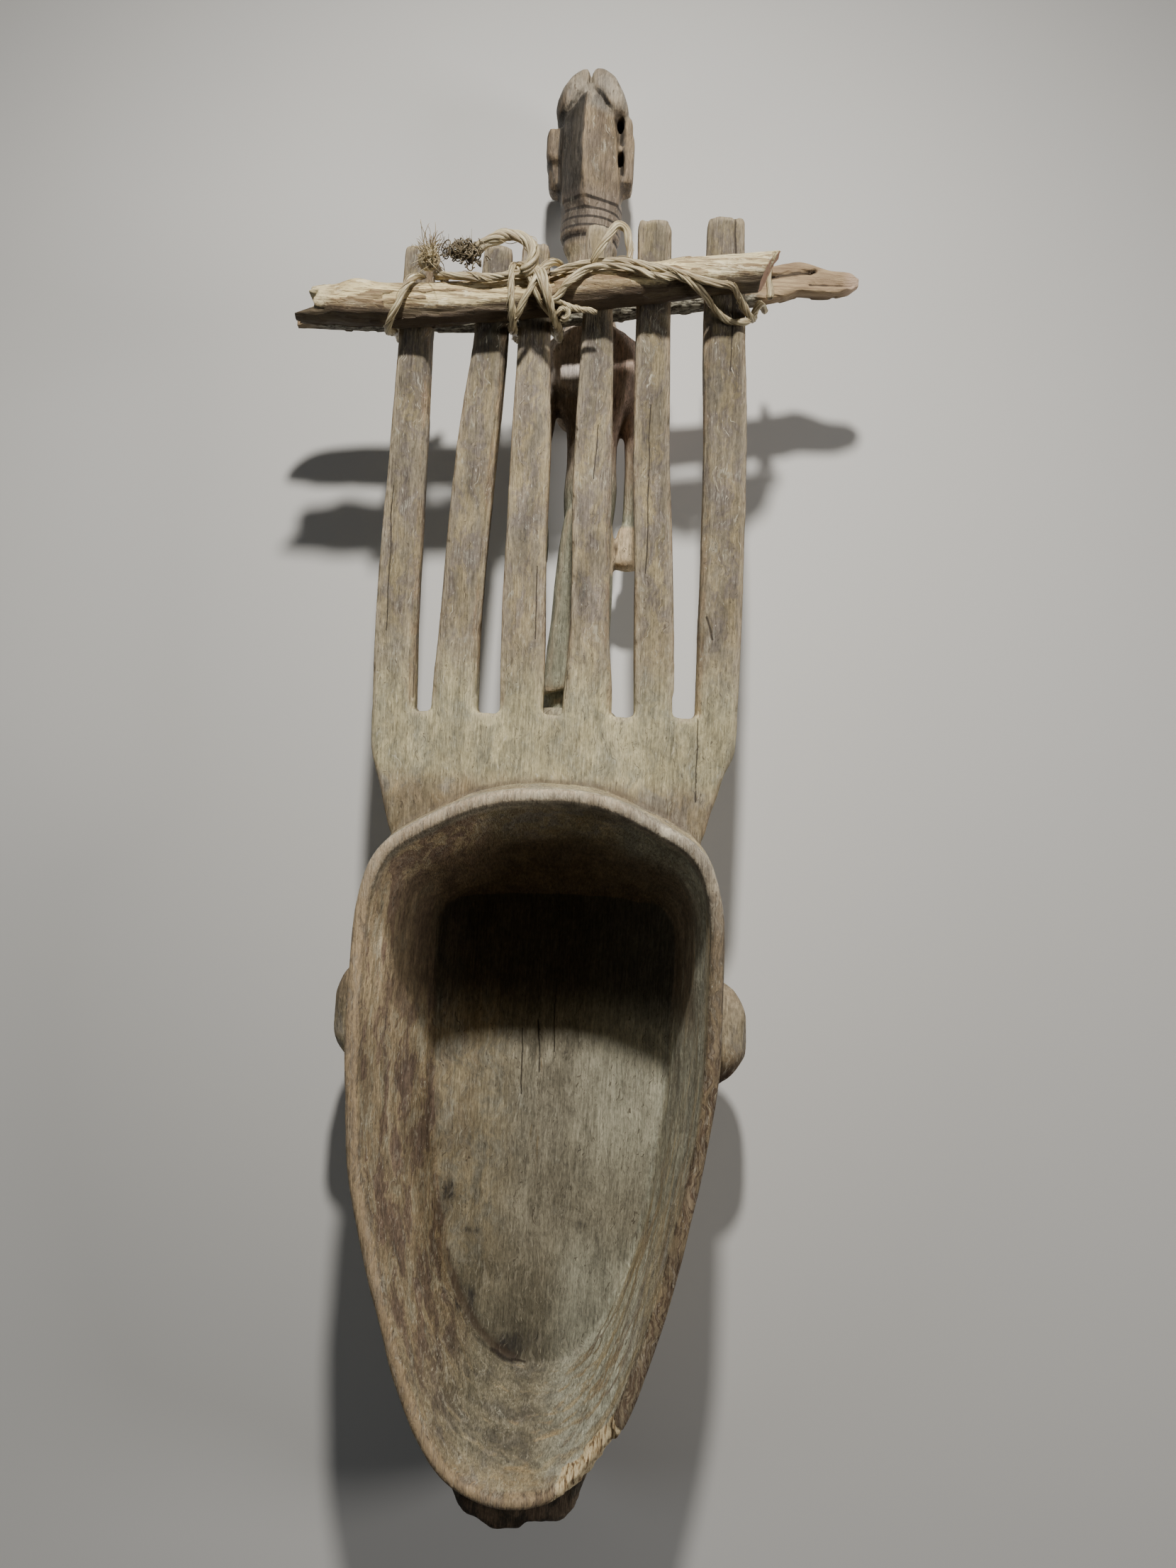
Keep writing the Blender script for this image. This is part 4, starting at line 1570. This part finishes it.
def paint_wear(wood):
    """Worn ridges are lighter and warmer, and hollows darker."""
    wood.wear = wood.attribute("wear")
    worn = wood.mix(wood.comb, (0.5, 0.36, 0.22), (0.47, 0.39, 0.27))
    wear_shows = wood.outside(wood.chin, wood.ear_end, wood.zone(wood.rim, 0.75, x=(10, 50)))
    less_on_head = wood.tone(wood.head, 0, 1, 0.65, 0.25)
    wood.paint(worn, less_on_head, wear_shows, wear=(0.6, 0.9), fine=(0.3, 0.55))
    corner = wood.zone(wood.deep, wood.most(wood.zone(y=(-232, -205)), wood.zone(x=(-6, 6))), 0.9)
    dirt_shows = wood.outside(corner, wood.zone(wood.head, 0.7, y=(262, 268)))
    wood.paint((0.085, 0.06, 0.04), 0.75, dirt_shows, wear=(0.44, 0.12))


def paint_breaks(wood):
    """The broken rim shows fresh wood, and the cracks are nearly black."""
    wood.fresh = wood.attribute("fresh")
    broken = wood.two((0.76, 0.62, 0.38), (0.33, 0.22, 0.11), fibre=(0.46, 0.62))
    broken = wood.over(broken, (0.08, 0.05, 0.03), 0.8, fibre=(0.6, 0.66))
    wood.paint(broken, fresh=(0.3, 0.7))
    flat = wood.vector("MULTIPLY", wood.mix(0.16, wood.spot, wood.wavered), CRACK_REACH)
    cracks = wood.most(*(wood.crack(flat, *crack) for crack in CRACKS))
    wood.paint((0.03, 0.022, 0.016), cracks, 0.85, speck=(0.3, 0.42))


def weathered_wood():
    wood = Shade("weathered_wood")
    for layer in (wood_grain, wood_places, paint_hollow, paint_comb, paint_figure, paint_dark_ends, paint_rim,
                  paint_marks, paint_wear, paint_breaks):
        layer(wood)
    polished = wood.most(wood.crown, wood.zone(wood.head, 0.6))
    polished = wood.zone(polished, wood.tone(wood.speck, 0.35, 0.65, 1, 0.6))
    return wood.finish(wood.tone(polished, 0, 1, 0.78, 0.32), 0.0009, grain=0.6, fine=0.55, speck=0.4)


def peeled_wood():
    wood = Shade("peeled_wood")
    wood.noises(wood.spot, grain=((24, 0.9, 0.9), 4, 0.65), fine=((7, 0.35, 0.35), 3, 0.6, 3),
                broad=((26, 9, 9), 3, 0.6, 1), speck=((2.4, 1.1, 1.1), 4, 0.7, 6),
                streak=((19, 2, 2), 4, 0.62, 17), bare=((9, 3.4, 3.4), 4, 0.65, 23))
    wood.colour = wood.two((0.86, 0.72, 0.4), (0.6, 0.47, 0.25), broad=(0.4, 0.6))
    wood.paint((0.76, 0.67, 0.42), 0.6, x=(30, 60))
    wood.paint((0.28, 0.19, 0.095), 0.75, grain=(0.51, 0.56))
    wood.paint((0.16, 0.105, 0.05), 0.75, fine=(0.585, 0.63))
    wood.paint((0.06, 0.04, 0.022), 0.85, grain=(0.62, 0.66))
    wood.paint((0.85, 0.76, 0.55), 0.5, speck=(0.62, 0.68))
    wood.paint((0.22, 0.145, 0.075), 0.75, streak=(0.53, 0.6))
    wood.paint((0.92, 0.82, 0.56), 0.65, bare=(0.54, 0.62))
    wood.bark_left = wood.attribute("bark")
    wood.bark = wood.zone(bark_left=(0.2, 0.7), speck=(0.28, 0.44))
    wood.paint(wood.two((0.3, 0.2, 0.11), (0.12, 0.075, 0.04), fine=(0.4, 0.6)), wood.bark, 0.7)
    # Pale splinters at the left, a dark under side and the reddish cut at the right
    wood.paint((0.8, 0.69, 0.42), 0.75, x=(-96, -101), speck=(0.66, 0.5))
    wood.under = wood.math("ADD", wood.attribute("under"), wood.math("MULTIPLY", wood.speck, 0.6))
    wood.paint((0.06, 0.04, 0.024), 0.92, under=(0.45, 0.85))
    wood.paint((0.5, 0.3, 0.2), across=(0.6, 0.85), x=(70, 73))
    return wood.finish(0.62, 0.0008, specular=0.35, grain=0.6, fine=0.35, speck=0.25, bark=0.4)


def split_wood():
    wood = Shade("split_wood")
    wood.noises(wood.spot, grain=((30, 1.1, 1.1), 4, 0.6), fine=((8, 0.4, 0.4), 3, 0.6, 3),
                broad=((22, 7, 7), 3, 0.6, 8), speck=((3, 1.5, 1.5), 4, 0.75, 6))
    wood.colour = wood.two((0.5, 0.37, 0.22), (0.34, 0.24, 0.145), broad=(0.35, 0.65))
    wood.paint((0.2, 0.13, 0.08), 0.5, grain=(0.45, 0.65))
    # Bark, grey and flaking, along the lower edge
    wood.above_middle = wood.math("SUBTRACT", wood.y, wood.tone(wood.x, -118, 120, 193, 223))
    bark = wood.two((0.33, 0.31, 0.24), (0.07, 0.06, 0.045), speck=(0.42, 0.58))
    wood.paint(bark, above_middle=(-2.5, -4.5), x=(82, 74))
    # A dark under side, a pale tip and the splits
    wood.paint((0.13, 0.09, 0.06), 0.6, z=(68, 63))
    wood.paint((0.6, 0.44, 0.33), 0.7, x=(112, 118))
    flat = wood.vector("MULTIPLY", wood.spot, CRACK_REACH)
    splits = [wood.crack(flat, (*start, LATH_FACE), (*end, LATH_FACE), width)
              for start, end, _, width in LATH_SPLITS]
    wood.paint((0.03, 0.02, 0.015), wood.most(*splits), 0.85)
    return wood.finish(0.7, 0.0008, grain=0.6, fine=0.35, speck=0.5)


def plant_fibre():
    bast = Shade("plant_fibre")
    bast.noises(bast.attribute("strand_place", "Vector"), fibre=((0.28, 0.28, 9), 3, 0.6),
                band=((2.4, 2.4, 14), 3, 0.6, 4))
    bast.noises(bast.spot, dust=((3, 3, 3), 3, 0.6, 2))
    bast.colour = bast.two((0.68, 0.59, 0.37), (0.39, 0.31, 0.18), band=(0.4, 0.6))
    bast.paint((0.2, 0.13, 0.065), 0.6, fibre=(0.5, 0.6))
    bast.paint((0.86, 0.79, 0.6), 0.6, fibre=(0.42, 0.34))
    bast.paint((0.25, 0.18, 0.11), 0.35, dust=(0.5, 0.75))
    bast.paint((0.085, 0.06, 0.035), bast.attribute("tone"), 0.9)
    return bast.finish(0.4, 0.0004, specular=0.5, fibre=1.0)


def pale_floor():
    material = bpy.data.materials.new("pale_floor")
    material.use_nodes = True
    shader = material.node_tree.nodes["Principled BSDF"]
    shader.inputs["Base Color"].default_value = (0.72, 0.71, 0.69, 1)
    shader.inputs["Roughness"].default_value = 0.8
    return material


def floor():
    shell = (np.array([(-4, -4, 0), (4, -4, 0), (4, 4, 0), (-4, 4, 0)], float), [[0, 1, 2, 3]])
    ground = loose_object("floor", shell)
    ground.data.materials.append(pale_floor())


camera()
studio()
floor()
carved_mask(weathered_wood())
front_stick(peeled_wood())
rear_lath(split_wood())
lashing(plant_fibre())
